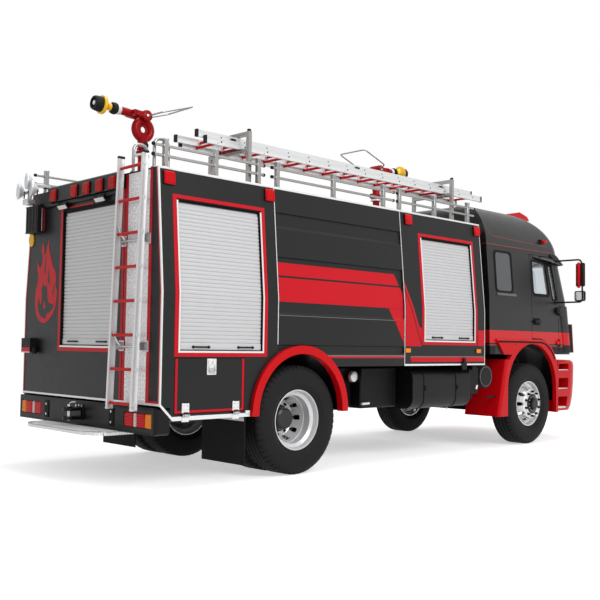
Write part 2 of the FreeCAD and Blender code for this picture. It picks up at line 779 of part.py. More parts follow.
def make_rear_fenders():
    lip_y = body_half_width + rear_arch_proud
    lip = arch_band(0, rear_arch_z, rear_arch_radius - rear_arch_lip, rear_arch_radius,
                    body_half_width - 40, lip_y, skirt_z)
    liner = arch_band(0, rear_arch_z, rear_arch_radius - rear_liner_wall, rear_arch_radius,
                      rear_liner_inner_y, body_half_width - 40, skirt_z)
    return both_sides(fused([lip, liner]))


def fender_panel(y0, y1, grow):
    """The front fender seen from the side, its upper outline grown, pulled from y0 to y1."""
    low, high = shoulder_z
    low_x, high_x = shoulder_rear_xs
    (foot_x, foot_z), (top_x, top_z) = front_fender_rear
    x = front_arch_x
    rear = side_outline([(foot_x, foot_z), (top_x, top_z), (x, top_z), (x, foot_z)], y0, y1)
    if not grow:
        rear = rear.makeFillet(fender_corner * 0.7, [e for e in rear.Edges if e.CenterOfMass.x < top_x
                                                     and e.CenterOfMass.y > y1 - 1 and e.Length > top_z - foot_z])
    shoulder = side_outline([(low_x, low), (high_x, high - 18), (high_x + 30, high + grow), (x, high + grow),
                             (x, low)], y0, y1)
    front = front_fender_front_x + grow
    crown = block(x, front, y0, y1, foot_z, high + grow)
    crown = crown.makeFillet(crown_bend + grow, [e for e in crown.Edges if e.CenterOfMass.x > front - 1
                                                 and e.CenterOfMass.z > high + grow - 1])
    ring = rod((x, y0, front_arch_z), (x, y1, front_arch_z), front_arch_radius + fender_lip)
    ring = ring.common(block(x - 2 * front_arch_radius, x, y0, y1, front_arch_z, high))
    return fused([rear, shoulder, crown, ring])


def make_front_fenders():
    """Side panels with the wheel arch and the shoulder above it, each with a liner over the wheel."""
    (foot_x, foot_z), (top_x, top_z) = front_fender_rear
    lip_y = front_fender_lip_y
    panel = fender_panel(lip_y, front_fender_y, 0)
    panel = panel.cut([arch_cutter(front_arch_x, front_arch_z, front_arch_radius), cab_shape(-seat_gap)])
    top = shoulder_z[1]
    slope = [(front_fender_y - shoulder_slope * 0.8, top + 1), (front_fender_y + 1, top + 1),
             (front_fender_y + 1, top - shoulder_slope)]
    panel = panel.cut(cross_outline(slope, foot_x - 100, front_fender_front_x + 100))
    radius = front_liner_radius + fender_wall
    liner = arch_band(front_liner_x, front_liner_z, front_liner_radius, radius,
                      front_fender_inner_y, front_fender_y - 20, foot_z)
    sheet = side_outline([(foot_x, foot_z), (top_x, top_z), (top_x + fender_wall, top_z),
                          (foot_x + fender_wall, foot_z)], front_fender_inner_y, lip_y + 1)
    flange = block(top_x, front_arch_x, front_fender_inner_y, lip_y + 1, top_z - fender_wall, top_z)
    flange = flange.cut(arch_cutter(front_liner_x, front_liner_z, front_liner_radius + 1))
    stay_z = (rail_bottom_z + rail_top_z) / 2
    stay_x = foot_x + (top_x - foot_x) * (stay_z - foot_z) / (top_z - foot_z) + fender_wall
    stay = rod((stay_x, rail_outer_y + seat_gap, stay_z), (stay_x, front_fender_inner_y + 20, stay_z), 24)
    return both_sides(fused([panel, liner, sheet, flange, stay]))


def plan_wire(z, rear_x, half, front_x, corner):
    """The cab's outline from above: square at the rear, round corners and a bowed front."""
    corner_x = front_x - cab_bow
    a = Vector(rear_x, -half, z)
    b = Vector(corner_x - corner, -half, z)
    c = Vector(corner_x, -half + corner, z)
    d = Vector(corner_x, half - corner, z)
    e = Vector(corner_x - corner, half, z)
    f = Vector(rear_x, half, z)
    bend = corner * math.sqrt(0.5)
    centre = Vector(corner_x - corner, -half + corner, z)
    right = Part.Arc(b, centre + Vector(bend, -bend, 0), c)
    nose = Part.Arc(c, Vector(front_x, 0, z), d)
    centre = Vector(corner_x - corner, half - corner, z)
    left = Part.Arc(d, centre + Vector(bend, bend, 0), e)
    return Part.Wire([Part.makeLine(a, b), right.toShape(), nose.toShape(), left.toShape(),
                      Part.makeLine(e, f), Part.makeLine(f, a)])


def cab_shape(inset):
    """The cab's lower shell as a solid, its faces moved in by inset."""
    sections = ((cab_sill_z, cab_sill_half, cab_front_x), (cab_belt_z, cab_belt_half, cab_belt_front_x),
                (cab_crease_z, cab_crease_half, cab_crease_front_x))
    wires = [plan_wire(z, cab_rear_x + inset, half - inset, front - inset, cab_corner - inset * 0.6)
             for z, half, front in sections]
    return Part.makeLoft(wires, True, True)


def roof_shape(inset):
    """The high roof, drawn in smoothly from the cab's crease to its top."""
    front = cab_crease_front_x
    sections = ((cab_crease_z + seat_gap, 0, 0, front, cab_corner),
                (2890.0, 66.0, 12.0, front - 112, 290.0),
                (3040.0, 170.0, 40.0, front - 295, 330.0),
                (3128.0, 315.0, 100.0, front - 560, 345.0),
                (cab_roof_z, 520.0, 200.0, front - 890, 345.0))
    wires = []
    for index, (z, narrower, rear, front_x, corner) in enumerate(sections):
        lift = inset if index > 2 else 0
        wires.append(plan_wire(z - lift, cab_rear_x + rear + inset, cab_crease_half - narrower - inset,
                               front_x - inset, corner))
    return Part.makeLoft(wires, True, False)


def window_cutter(outline, grow):
    """A prism through one side wall for a window outline, grown all round."""
    xs = [x for x, z in outline]
    zs = [z for x, z in outline]
    cx, cz = sum(xs) / len(xs), sum(zs) / len(zs)
    spread = [(x + (grow if x > cx else -grow), z + (grow if z > cz else -grow)) for x, z in outline]
    return side_outline(spread, cab_crease_half - 300, cab_sill_half + 100)


def windscreen_cutter(grow):
    half = windscreen_half + grow
    return block(cab_crease_front_x - 500, cab_front_x + 100, -half, half,
                 windscreen_z[0] - grow, windscreen_z[1] + grow)


def door_cutter(grow):
    """A prism for the right or left door: straight rear edge, front edge along the pillar."""
    pillar_top_x = door_front_x - 60
    outline = [(door_rear_x - grow, cab_sill_z - 1), (door_front_x + grow, cab_sill_z - 1),
               (door_front_x + grow, cab_belt_z), (pillar_top_x + grow, door_top_z + grow),
               (door_rear_x - grow, door_top_z + grow)]
    return side_outline(outline, cab_crease_half - 300, cab_sill_half + 100)


def hinge_leaves(z, on_door):
    """A barrel hinge at one height: the middle leaf is the door's, the outer two and the pin the cab's."""
    x, y = door_hinge_x, door_hinge_y
    half = hinge_leaf / 2
    plate_y = door_hinge_y - 60
    if on_door:
        barrel = rod((x, y, z - half), (x, y, z + half), hinge_barrel)
        plate = block(x - 70, x - 4, plate_y, y, z - half, z + half)
        tongue = block(x - 12, x, y - hinge_barrel, y, z - half, z + half)
        bore = rod((x, y, z - half - 1), (x, y, z + half + 1), hinge_pin + running_gap)
        return barrel.fuse([plate, tongue]).cut(bore)
    start = half + hinge_axial_gap
    pieces = [rod((x, y, z - start - half), (x, y, z + start + half), hinge_pin)]
    for low in (z - start - half, z + start):
        pieces.append(rod((x, y, low), (x, y, low + half), hinge_barrel))
        pieces.append(block(x + 4, x + 60, plate_y, y, low, low + half))
        pieces.append(block(x, x + 12, y - hinge_barrel, y, low, low + half))
    return fused(pieces)


def make_cab(outer, inner):
    room = inner.common(block(0, front_reach, -body_half_width, body_half_width, cab_floor_z, cab_roof_z))
    under = inner.common(block(0, front_reach, -body_half_width, body_half_width, 0, cab_floor_z - cab_floor_wall))
    shape = outer.cut([room, under])
    tunnel = block(tunnel_rear_x, cab_front_x - 400, -tunnel_half, tunnel_half,
                   cab_floor_z - cab_floor_wall, tunnel_top_z)
    hollow = block(tunnel_rear_x - 1, cab_front_x - 440, -tunnel_half + cab_floor_wall,
                   tunnel_half - cab_floor_wall, 0, tunnel_top_z - cab_floor_wall)
    shape = shape.fuse(tunnel).cut(hollow)
    wheel_house = arch_cutter(front_liner_x, front_liner_z, front_liner_radius + fender_wall + seat_gap)
    cuts = [windscreen_cutter(0), wheel_house]
    for cutter in (window_cutter(side_window, 0), door_cutter(0)):
        cuts += [cutter, mirrored(cutter)]
    hinges = [hinge_leaves(z, False) for z in door_hinge_zs]
    return fused([shape.cut(cuts)] + hinges + [mirrored(h) for h in hinges])


def make_door(outer, inner, side):
    panel = outer.cut(inner).common(door_cutter(-door_gap))
    panel = panel.common(block(0, front_reach, 0, body_half_width, cab_sill_z + 10, cab_roof_z))
    panel = panel.cut([window_cutter(door_window, 0), window_cutter(quarter_window, 0),
                       fender_panel(cab_crease_half - 300, body_half_width + 100, 2 * door_gap)])
    handle = block(door_rear_x + 50, door_rear_x + 190, cab_sill_half - 8, cab_sill_half + 26, 1625, 1660)
    door = fused([panel, handle] + [hinge_leaves(z, True) for z in door_hinge_zs])
    return door if side > 0 else mirrored(door)


def cab_side(z):
    """Half the cab's width at a height between its belt and its crease."""
    lean = (cab_belt_half - cab_crease_half) / (cab_crease_z - cab_belt_z)
    return cab_belt_half - (z - cab_belt_z) * lean


def make_mirror(side):
    """Two heads on a bowed arm that stands on two foot plates on the door's front frame."""
    low, high = mirror_arm_z
    x, top_x = mirror_x, mirror_x - 30
    arm = bent_tube([(x, cab_side(low) + 8, low), (x, mirror_arm_y, low), (top_x, mirror_arm_y, high),
                     (top_x, cab_side(high) + 8, high)], 11, 40)
    skin = cab_shape(-seat_gap)
    feet = [block(fx - 26, fx + 26, cab_side(z) - 20, cab_side(z) + 16, z - 34, z + 34).cut(skin)
            for fx, z in ((x, low), (top_x, high))]
    heads = []
    for z0, z1 in (mirror_top_z, mirror_low_z):
        head = block(x - 20, x + mirror_depth - 20, mirror_arm_y - mirror_width + 40, mirror_arm_y + 40, z0, z1)
        heads.append(head.makeFillet(28, [e for e in head.Edges if abs(e.tangentAt(0).x) > 0.9]))
    mirror = fused([arm] + feet + heads)
    return mirror if side > 0 else mirrored(mirror)


def bumper_solid(inset):
    """The bumper's outline from above, drawn in towards its lower edge and along its top."""
    wires = []
    last = len(bumper_sections) - 1
    for index, (z, tuck) in enumerate(bumper_sections):
        past_end = (inset > 0) * ((index == last) - (index == 0))
        wires.append(plan_wire(z + past_end, bumper_rear_x - (inset > 0), bumper_half - tuck - inset,
                               front_reach - tuck - inset, bumper_corner - (tuck + inset) * 0.6))
    return Part.makeLoft(wires, True, True)


def headlamp_block(gap):
    return block(front_reach - 400, front_reach + 10, headlamp_y[0] + gap, headlamp_y[1] - gap,
                 headlamp_z[0] + gap, headlamp_z[1] - gap)


def make_headlamps():
    """Lenses flush with the bumper's front, in pockets."""
    lens = bumper_solid(0).common(headlamp_block(seat_gap)).cut(bumper_solid(headlamp_depth - seat_gap))
    return both_sides(lens)


def make_front_bumper():
    bottom, top = bumper_sections[0][0], bumper_sections[-1][0]
    outer = bumper_solid(0)
    housing = block(bumper_rear_x, step_well_x[1] + 40, bumper_half - step_well_depth - 30, bumper_half, bottom, top)
    housing = housing.common(outer)
    shape = fused([outer.cut(bumper_solid(bumper_wall)), housing, mirrored(housing)])
    cuts = []
    for level in step_levels:
        height = top_well_height if level == step_levels[-1] else step_well_height
        cuts.append(block(step_well_x[0], step_well_x[1], bumper_half - step_well_depth, bumper_half + 10,
                          level, level + height))
    cuts.append(headlamp_block(0).cut(bumper_solid(headlamp_depth)))
    cuts += [mirrored(cut) for cut in cuts]
    beam = block(rail_front_x + seat_gap, front_reach - bumper_wall + 20, -rail_outer_y, rail_outer_y,
                 rail_bottom_z + 40, rail_top_z - 60)
    return fused([shape.cut(cuts), beam])


def make_grille():
    """The panel below the windscreen: a plate with slats, seated on the cab's front."""
    plate = cab_shape(-14).cut(cab_shape(-seat_gap))
    behind, ahead = cab_front_x - 400, cab_front_x + 100
    low, high = grille_z
    plate = plate.common(block(behind, ahead, -grille_half, grille_half, low, high))
    slots = [block(behind, ahead, 60 - grille_half, grille_half - 60, z, z + 36)
             for z in range(int(low) + 40, int(high) - 40, 90)]
    return plate.cut(slots)


def make_rear_bumper():
    x1 = -rear_bumper_x + rear_bumper_depth
    z0, z1 = rear_bumper_z
    beam = block(-rear_bumper_x, x1, -rear_bumper_half, rear_bumper_half, z0, z1)
    ends = [e for e in beam.Edges if abs(e.tangentAt(0).x) > 0.9 or
            (abs(e.tangentAt(0).z) > 0.9 and e.CenterOfMass.x < -rear_bumper_x + 1)]
    beam = beam.makeFillet(rear_bumper_round, ends)
    hollow = block(-rear_bumper_x + 45, x1 + 1, -rear_bumper_half + 45, rear_bumper_half - 45, z0 + 30, z1 - 30)
    lamps = []
    lamp_mid = (z0 + z1) / 2
    for s in (1, -1):
        low_y, high_y = sorted((s * tail_lamp_inner_y, s * (tail_lamp_inner_y + tail_lamp_width)))
        lamps.append(block(-rear_bumper_x - 1, -rear_bumper_x + 32, low_y, high_y,
                           lamp_mid - tail_lamp_height / 2, lamp_mid + tail_lamp_height / 2))
    stays = [block(x1 - 60, rail_rear_x - seat_gap, s * 410 - 36, s * 410 + 36, z1 - 60, z1 + 60) for s in (1, -1)]
    arms = [block(x1 - 80, rail_rear_x - seat_gap, s * 410 - 30, s * 410 + 30, z0 + 60, z1) for s in (1, -1)]
    return fused([beam.cut([hollow] + lamps)] + stays + arms + [make_tow_jaw()])


def make_tow_jaw():
    """A forked block with an upright hole for the tow pin."""
    z0, z1 = tow_jaw_z - tow_jaw_height / 2, tow_jaw_z + tow_jaw_height / 2
    tip = rod((tow_jaw_x, 0, z0), (tow_jaw_x, 0, z1), tow_jaw_half)
    root = block(tow_jaw_x, -rear_bumper_x + 40, -tow_jaw_half, tow_jaw_half, z0, z1)
    mouth = block(tow_jaw_x - 100, -rear_bumper_x - 28, -100, 100,
                  tow_jaw_z - tow_jaw_mouth / 2, tow_jaw_z + tow_jaw_mouth / 2)
    hole = rod((tow_jaw_x, 0, z0 - 1), (tow_jaw_x, 0, z1 + 1), tow_pin_radius)
    return tip.fuse(root).cut([mouth, hole])


def make_rear_step():
    """A tread plate with a turned-down edge, carried below the bumper."""
    x_rear = -rear_reach
    x_front = -rear_bumper_x + rear_bumper_depth
    z = rear_bumper_z[0] - seat_gap
    half = rear_step_half
    inset = rear_step_corner
    outline = [(x_front, -half), (x_rear + inset * 0.6, -half), (x_rear, -half + inset),
               (x_rear, half - inset), (x_rear + inset * 0.6, half), (x_front, half)]
    plate = face([Vector(x, y, z) for x, y in outline]).extrude(Vector(0, 0, -rear_step_lip))
    pocket = [(x_front + 1, -half + 6), (x_rear + inset * 0.6 + 3, -half + 6), (x_rear + 6, -half + inset + 3),
              (x_rear + 6, half - inset - 3), (x_rear + inset * 0.6 + 3, half - 6), (x_front + 1, half - 6)]
    hollow = face([Vector(x, y, z - 6) for x, y in pocket]).extrude(Vector(0, 0, -rear_step_lip))
    return plate.cut(hollow)


def make_mudflaps():
    x = -rear_arch_radius - 40
    flap = block(x - 12, x, rear_liner_inner_y + 40, body_half_width - 20, 150, skirt_z - seat_gap)
    return both_sides(flap)


def make_lamps():
    """Square marker lamps under the roof's edge and on the header, and the tail lamps."""
    pieces = []
    half, mid = marker_half, marker_z
    base_y = body_side(mid)
    lean = math.degrees(math.atan((body_half_width - roof_half_width) / (roof_z - belt_z)))
    for x in marker_xs:
        lamp = block(x - half, x + half, base_y - 2, base_y + 34, mid - half, mid + half)
        lamp.rotate(Vector(x, base_y, mid), Vector(1, 0, 0), lean)
        lamp = lamp.cut(body_prism(x - 100, x + 100, -seat_gap, floor_z, roof_z))
        pieces += [lamp, mirrored(lamp)]
    face_x = body_rear_x - header_x
    for y in header_lamp_ys:
        pieces.append(block(face_x - 26, face_x - seat_gap, y - half, y + half,
                            header_lamp_z - half, header_lamp_z + half))
    lamp_mid = sum(rear_bumper_z) / 2
    reach = tail_lamp_height / 2 - seat_gap
    tail = block(-rear_bumper_x - 6, -rear_bumper_x + 32 - seat_gap, tail_lamp_inner_y + seat_gap,
                 tail_lamp_inner_y + tail_lamp_width - seat_gap, lamp_mid - reach, lamp_mid + reach)
    return Part.makeCompound(pieces + [tail, mirrored(tail)])


def make_roof_deck():
    """Tread plate on the modules' top, with a pad for a stowed box and a riser pipe under each monitor."""
    z = roof_z + seat_gap
    half = roof_half_width - deck_inset
    pieces = [block(body_rear_x + 20, body_front_x - 20, -half, half, z, z + deck_wall)]
    pieces.append(block(*deck_pad_x, *deck_pad_y, z, z + deck_wall + deck_pad_rise))
    top = monitor_flange_z - 24
    for x in monitor_xs:
        pieces.append(rod((x, 0, z), (x, 0, top), riser_radius))
        pieces.append(rod((x, 0, z), (x, 0, z + deck_wall + 18), riser_foot_radius))
        pieces.append(rod((x, 0, top - 20), (x, 0, top), riser_flange_radius))
    return fused(pieces).cut(mast_hole())


def make_roof_rails():
    deck_z = roof_z + seat_gap + deck_wall + seat_gap
    pieces = []
    for x0, x1, posts in roof_rail_sections:
        for z in (roof_rail_low_z, roof_rail_high_z):
            pieces.append(rod((x0, roof_rail_y, z), (x1, roof_rail_y, z), rail_tube))
        for x in posts:
            pieces.append(rod((x, roof_rail_y, deck_z), (x, roof_rail_y, roof_post_top_z), post_tube))
            pieces.append(rod((x, roof_rail_y, deck_z), (x, roof_rail_y, deck_z + 12), post_tube * 1.6))
    right = [mirrored(p) for p in pieces]
    return Part.makeCompound(fused(pieces).Solids + fused(right).Solids)


def make_gantry():
    """Two frames that carry the stored ladder: a rest bar, two posts and a hold-down arm."""
    deck_z = roof_z + seat_gap + deck_wall + seat_gap
    half = gantry_post / 2
    frames = []
    for x in gantry_xs:
        outer = block(x - half, x + half, gantry_outer_y - half, gantry_outer_y + half, deck_z, gantry_arm_z + half)
        inner = block(x - half, x + half, gantry_inner_y - half, gantry_inner_y + half, deck_z, gantry_rest_z)
        rest = block(x - half, x + half, gantry_outer_y, gantry_inner_y, gantry_rest_z - gantry_post, gantry_rest_z)
        arm = block(x - half, x + half, gantry_outer_y, gantry_arm_end_y, gantry_arm_z - half, gantry_arm_z + half)
        frames.append(fused([outer, inner, rest, arm]))
    return Part.makeCompound(frames)


def ladder_section(x_range, half, z, y):
    """Two box stiles with round rungs between them."""
    x0, x1 = x_range
    low, high = z - stile_height / 2, z + stile_height / 2
    pieces = [block(x0, x1, y + s * half - stile_width / 2, y + s * half + stile_width / 2, low, high)
              for s in (1, -1)]
    count = int((x1 - x0 - rung_pitch) // rung_pitch) + 1
    first = (x0 + x1 - (count - 1) * rung_pitch) / 2
    for index in range(count):
        x = first + index * rung_pitch
        pieces.append(rod((x, y - half, z), (x, y + half, z), rung_radius))
    return fused(pieces)


def make_roof_ladder():
    z = gantry_rest_z + seat_gap + stile_height / 2
    outer = ladder_section(outer_section_x, outer_section_half, z, ladder_y)
    inner = ladder_section(inner_section_x, inner_section_half, z + inner_section_rise, ladder_y)
    return Part.makeCompound([outer, inner])


def make_back_ladder():
    """The fixed ladder on the rear face, with its four stand-off brackets."""
    (xb, zb), (xt, zt) = back_ladder_bottom, back_ladder_top
    depth = back_stile_depth / 2
    outline = [(xb - depth, zb), (xb + depth, zb), (xt + depth, zt), (xt - depth, zt)]
    pieces = [side_outline(outline, y - stile_width / 2, y + stile_width / 2) for y in back_ladder_y]
    slope = (xt - xb) / (zt - zb)
    pitch = (zt - 115 - back_rung_first_z) / (back_rung_count - 1)
    for index in range(back_rung_count):
        z = back_rung_first_z + index * pitch
        x = xb + (z - zb) * slope
        pieces.append(rod((x, back_ladder_y[0], z), (x, back_ladder_y[1], z), rung_radius))
    for z in back_ladder_stays:
        x = xb + (z - zb) * slope
        for y in back_ladder_y:
            pieces.append(block(x, body_rear_x - seat_gap, y - 10, y + 10, z - 30, z + 30))
    return fused(pieces)


def make_grab_rails():
    """The hoops at the head of the rear ladder."""
    deck_z = roof_z + seat_gap + deck_wall + seat_gap
    x0, x1 = grab_rail_x
    return [bent_tube([(x0, y, deck_z), (x0, y, grab_rail_top_z), (x1, y, grab_rail_top_z), (x1, y, deck_z)],
                      grab_tube, grab_bend) for y in grab_rail_ys]


def make_monitor_base(x):
    """The swivelling half: collar, neck and the cast waterway, a ring with a webbed eye, up to the pivot."""
    z0 = monitor_flange_z
    ring_z, ring, tube = monitor_ring_z, monitor_ring_radius, monitor_ring_tube
    neck_top = ring_z - ring + 30
    neck = monitor_neck_radius
    collar = monitor_collar_radius
    column = spin_z([(0, z0 - 23.5), (collar, z0 - 23.5), (collar, z0 + 4), (neck, z0 + 14),
                     (neck - 6, z0 + 80), (neck + 8, neck_top), (0, neck_top)], x, 0)
    torus = Part.makeTorus(ring, tube, Vector(x, 0, ring_z), Y_AXIS)
    half = monitor_web_wall / 2
    web = rod((x, -half, ring_z), (x, half, ring_z), ring)
    eye = rod((x, -half - 1, ring_z), (x, half + 1, ring_z), monitor_web_hole)
    socket = rod((x, -monitor_pivot_half, monitor_pivot_z), (x, monitor_pivot_half, monitor_pivot_z),
                 monitor_pivot_radius)
    wide = ring * 0.86
    cheek = tube * 0.82
    saddle = side_outline([(x - wide, ring_z + ring * 0.5), (x + wide, ring_z + ring * 0.5),
                           (x + monitor_pivot_radius * 0.9, monitor_pivot_z), (x - monitor_pivot_radius * 0.9, monitor_pivot_z)],
                          -cheek, cheek)
    saddle = saddle.cut(rod((x, -cheek - 1, ring_z), (x, cheek + 1, ring_z), ring * 0.8))
    return fused([column, torus, web.cut(eye), socket, saddle])


def make_monitor_barrel(x):
    """The elevating half: yoke, barrel, ball collar, bell and nozzle, with the loop handle behind it."""
    z = monitor_pivot_z
    inner = monitor_pivot_half + bearing_gap
    outer = inner + monitor_yoke_wall
    reach = monitor_reach
    yoke = []
    for s in (1, -1):
        low_y, high_y = sorted((s * inner, s * outer))
        yoke.append(rod((x, s * inner, z), (x, s * outer, z), monitor_pivot_radius - 2))
        yoke.append(block(x + 20, x + 165, low_y, high_y, z - 24, z + 30))
    bridge = block(x + 127, x + 165, -outer, outer, z - 24, z + 30)
    barrel = spin_x([(0, 140), (36, 140), (41, 176), (41, reach - 300), (50, reach - 296), (50, reach - 262),
                     (56, reach - 252), (60, reach - 232), (56, reach - 206), (40, reach - 196), (36, reach - 160),
                     (60, reach - 130), (92, reach - 112), (92, reach - 84), (76, reach - 78), (74, reach - 14),
                     (66, reach), (34, reach), (30, reach - 30), (0, reach - 30)], x, z)
    root_x, wide_x, end_x = x - 30, x - 90, x - handle_length
    root_y, wide_y = handle_half * 0.36, handle_half
    handle = bent_tube([(root_x, root_y, z), (wide_x, wide_y, z), (end_x, wide_y, z), (end_x, -wide_y, z),
                        (wide_x, -wide_y, z), (root_x, -root_y, z)], handle_tube, 40)
    handle.rotate(Vector(x, 0, z), Y_AXIS, handle_rise_deg)
    shaft = fused(yoke + [bridge, barrel])
    shaft.rotate(Vector(x, 0, z), Y_AXIS, -monitor_rise_deg)
    return fused([shaft, handle])


def spin_x(profile, x, z):
    """A closed profile of (radius, distance along x) turned about the line (y = 0, z)."""
    flat = face([Vector(x + a, 0, z + r) for r, a in profile])
    return flat.revolve(Vector(x, 0, z), Vector(1, 0, 0), 360)


def turned_back(shape, x):
    shape = shape.copy()
    shape.rotate(Vector(x, 0, 0), Vector(0, 0, 1), 180)
    return shape


def make_mast_tube():
    """The fixed tube in the rear left corner that the mast slides in."""
    z0 = floor_z + module_wall + seat_gap
    z1 = roof_z + seat_gap + deck_wall + 30
    tube = rod((mast_x, mast_y, z0), (mast_x, mast_y, z1), mast_radius + mast_tube_wall)
    return tube.cut(rod((mast_x, mast_y, z0 + 10), (mast_x, mast_y, z1 + 1), mast_radius + bearing_gap))


def make_light_mast():
    """Sliding mast with its lamp head, which hangs behind the rear wall while stored."""
    pole = rod((mast_x, mast_y, mast_head_z - mast_length), (mast_x, mast_y, mast_head_z), mast_radius)
    x0, x1 = mast_head_x, mast_head_x + 34
    neck = block(x0, mast_x + 30, mast_y - 40, mast_y + 40, mast_head_z - 12, mast_head_z + 20)
    ys = [y for y, z in mast_lamps]
    bar = block(x0, x1, min(ys), max(ys), mast_box_z[1] + 60, mast_box_z[1] + 90)
    post = block(x0, x1, mast_y + 10, mast_y + 50, mast_box_z[1] - 10, mast_head_z + 10)
    box = block(x0 - 30, x1 + 30, mast_y - 10, mast_y + 100, *mast_box_z)
    pieces = [pole, neck, bar, post, box]
    for y, z in mast_lamps:
        dish = spin_x([(0, 0), (40, 0), (mast_lamp_radius, 52), (mast_lamp_radius, 66), (0, 66)], 0, 0)
        dish.rotate(Vector(0, 0, 0), Vector(0, 0, 1), 180 - mast_lamp_turn)
        dish.translate(Vector(x0 + 8, y, z))
        pieces.append(dish)
        pieces.append(block(x0, x1, y - 14, y + 14, min(z, mast_box_z[1] + 62), max(z, mast_box_z[1] + 62)))
    return fused(pieces)


def make_mast_boxes():
    """Plain black boxes on the rear left corner, above and below, the lower one with a knob."""
    x = body_rear_x - seat_gap
    upper_y, lower_y, knob_y = body_half_width - 387, body_half_width - 285, body_half_width - 305
    upper = block(x - 90, x, upper_y, upper_y + 254, 2410, 2680)
    lower = block(x - 80, x, lower_y, lower_y + 190, 1165, 1311)
    bracket = block(x - 60, x - 20, knob_y - 10, knob_y + 30, 1180, 1230)
    knob = rod((x - 40, knob_y, 1150), (x - 40, knob_y, 1200), 26)
    return Part.makeCompound([upper, fused([lower, knob, bracket])])


def make_fuel_tank():
    """A tank with rounded long edges and two bands, on brackets from the chassis rail."""
    x0, x1 = fuel_tank_x
    y0, y1 = fuel_tank_y
    z0, z1 = fuel_tank_z
    tank = block(x0, x1, -y1, -y0, z0, z1)
    tank = tank.makeFillet(fuel_tank_corner, [e for e in tank.Edges if abs(e.tangentAt(0).x) > 0.9])
    pieces = [tank]
    for share in (0.2, 0.75):
        x = x0 + (x1 - x0) * share
        pieces.append(block(x - 30, x + 30, -y0 - fuel_tank_corner - 10, -rail_outer_y - seat_gap, z0 + 120, z0 + 220))
        band = block(x - 22, x + 22, -y1 - 6, -y0 + 6, z0 - 6, z1 + 6)
        pieces.append(band.makeFillet(fuel_tank_corner + 6, [e for e in band.Edges if abs(e.tangentAt(0).x) > 0.9]))
    return fused(pieces)


def make_air_filter():
    """A round filter housing behind the cab, on a bracket from the chassis rail."""
    x, z, radius = air_filter_x, air_filter_z, air_filter_radius
    inner, outer = air_filter_y
    drum = spin_y([(0, -outer), (radius - 18, -outer), (radius, 18 - outer), (radius, -inner), (0, -inner)], x, z)
    stay = block(x - 40, x + 40, -inner - 20, -rail_outer_y - seat_gap, z - 60, z + 40)
    return fused([drum, stay])


def make_battery_box():
    x0, x1 = battery_x
    y0, y1 = battery_y
    z0, z1 = battery_z
    box = block(x0, x1, y0, y1, z0, z1)
    box = box.makeFillet(24, [e for e in box.Edges if abs(e.tangentAt(0).x) > 0.9])
    stays = [block(x - 30, x + 30, rail_outer_y + seat_gap, y0 + 20, z1 - 180, z1 - 60) for x in (x0 + 150, x1 - 150)]
    return fused([box] + stays)


def make_silencer():
    """A drum on a bracket from the chassis rail, its tail pipe bent out to the left."""
    x0, x1 = silencer_x
    y, z, radius = silencer_y, silencer_z, silencer_radius
    drum = rod((x0, y, z), (x1, y, z), radius)
    middle = (x0 + x1) / 2
    stay = block(middle - 30, middle + 30, rail_outer_y + seat_gap, y - 120, z + 20, z + 120)
    tail = bent_tube([(x0 + 10, y, z - 40), (x0 - 140, y, z - 40), (x0 - 140, body_half_width - 55, z - 40)],
                     silencer_pipe, 60)
    return fused([drum, stay, tail])


def make_engine():
    """Engine and gearbox as plain blocks, with the propeller shaft to the rear axle."""
    x0, x1 = engine_x
    z0, z1 = engine_z
    gearbox_x = x0 - gearbox_length
    pieces = [block(x0, x1, -engine_half, engine_half, z0, z1)]
    pieces.append(block(gearbox_x, x0 + 1, -gearbox_half, gearbox_half, z0, gearbox_top_z))
    pieces.append(rod((336, 0, axle_height + 30), (gearbox_x + 1, 0, z0 + 120), shaft_radius))
    web = rail_outer_y - rail_wall - seat_gap
    for x in (x0 + 150, x1 - 250):
        mount = block(x, x + 80, engine_half, web, z0 + 160, z0 + 240)
        pieces += [mount, mirrored(mount)]
    return fused(pieces)


def make_seats():
    """Two front seats and a rear bench, on boxes."""
    floor = cab_floor_z + seat_gap
    z0, z1 = cab_floor_z + seat_rise, cab_floor_z + seat_rise + seat_pad
    x, top = seat_rear_x, cab_floor_z + back_rise
    back = [(x - 60, z1 - 50), (x + 60, z1 - 50), (x - 80, top), (x - 180, top)]
    y0, y1 = seat_y - seat_half, seat_y + seat_half
    seat = fused([block(x, x + seat_length, y0, y1, z0, z1), side_outline(back, y0 + 10, y1 - 10),
                  block(x + 80, x + seat_length - 60, y0 + 90, y1 - 90, floor, z0 + 10)])
    x0, x1 = bench_x
    bench = fused([block(x0 + 80, x1 - 90, -bench_half, bench_half, z0, z1),
                   block(x0, x0 + 120, -bench_half, bench_half, z1 - 50, top - 100),
                   block(x0 + 80, x1 - 190, -bench_half + 50, bench_half - 50, floor, z0 + 10)])
    return Part.makeCompound([seat, mirrored(seat), bench])


def make_dashboard():
    """Dashboard across the cab, with the steering column and wheel on the left."""
    x = dash_x
    outline = [(x, 1890), (x + 240, 1900), (x + 250, 1640), (x + 80, 1600), (x - 60, 1720)]
    reach = cab_belt_half - 100
    dash = side_outline(outline, -reach, reach).common(cab_shape(cab_wall + seat_gap))
    wheel_x, wheel_z = wheel_centre
    centre = Vector(wheel_x, seat_y, wheel_z)
    column = rod((x + 45, seat_y, wheel_z - 226), (wheel_x, seat_y, wheel_z), 36)
    rim = Part.makeTorus(wheel_radius, 16, centre, Vector(-0.64, 0, 0.77))
    spoke = rod((wheel_x, seat_y - wheel_radius, wheel_z), (wheel_x, seat_y + wheel_radius, wheel_z), 14)
    return fused([dash, column, rim, spoke])


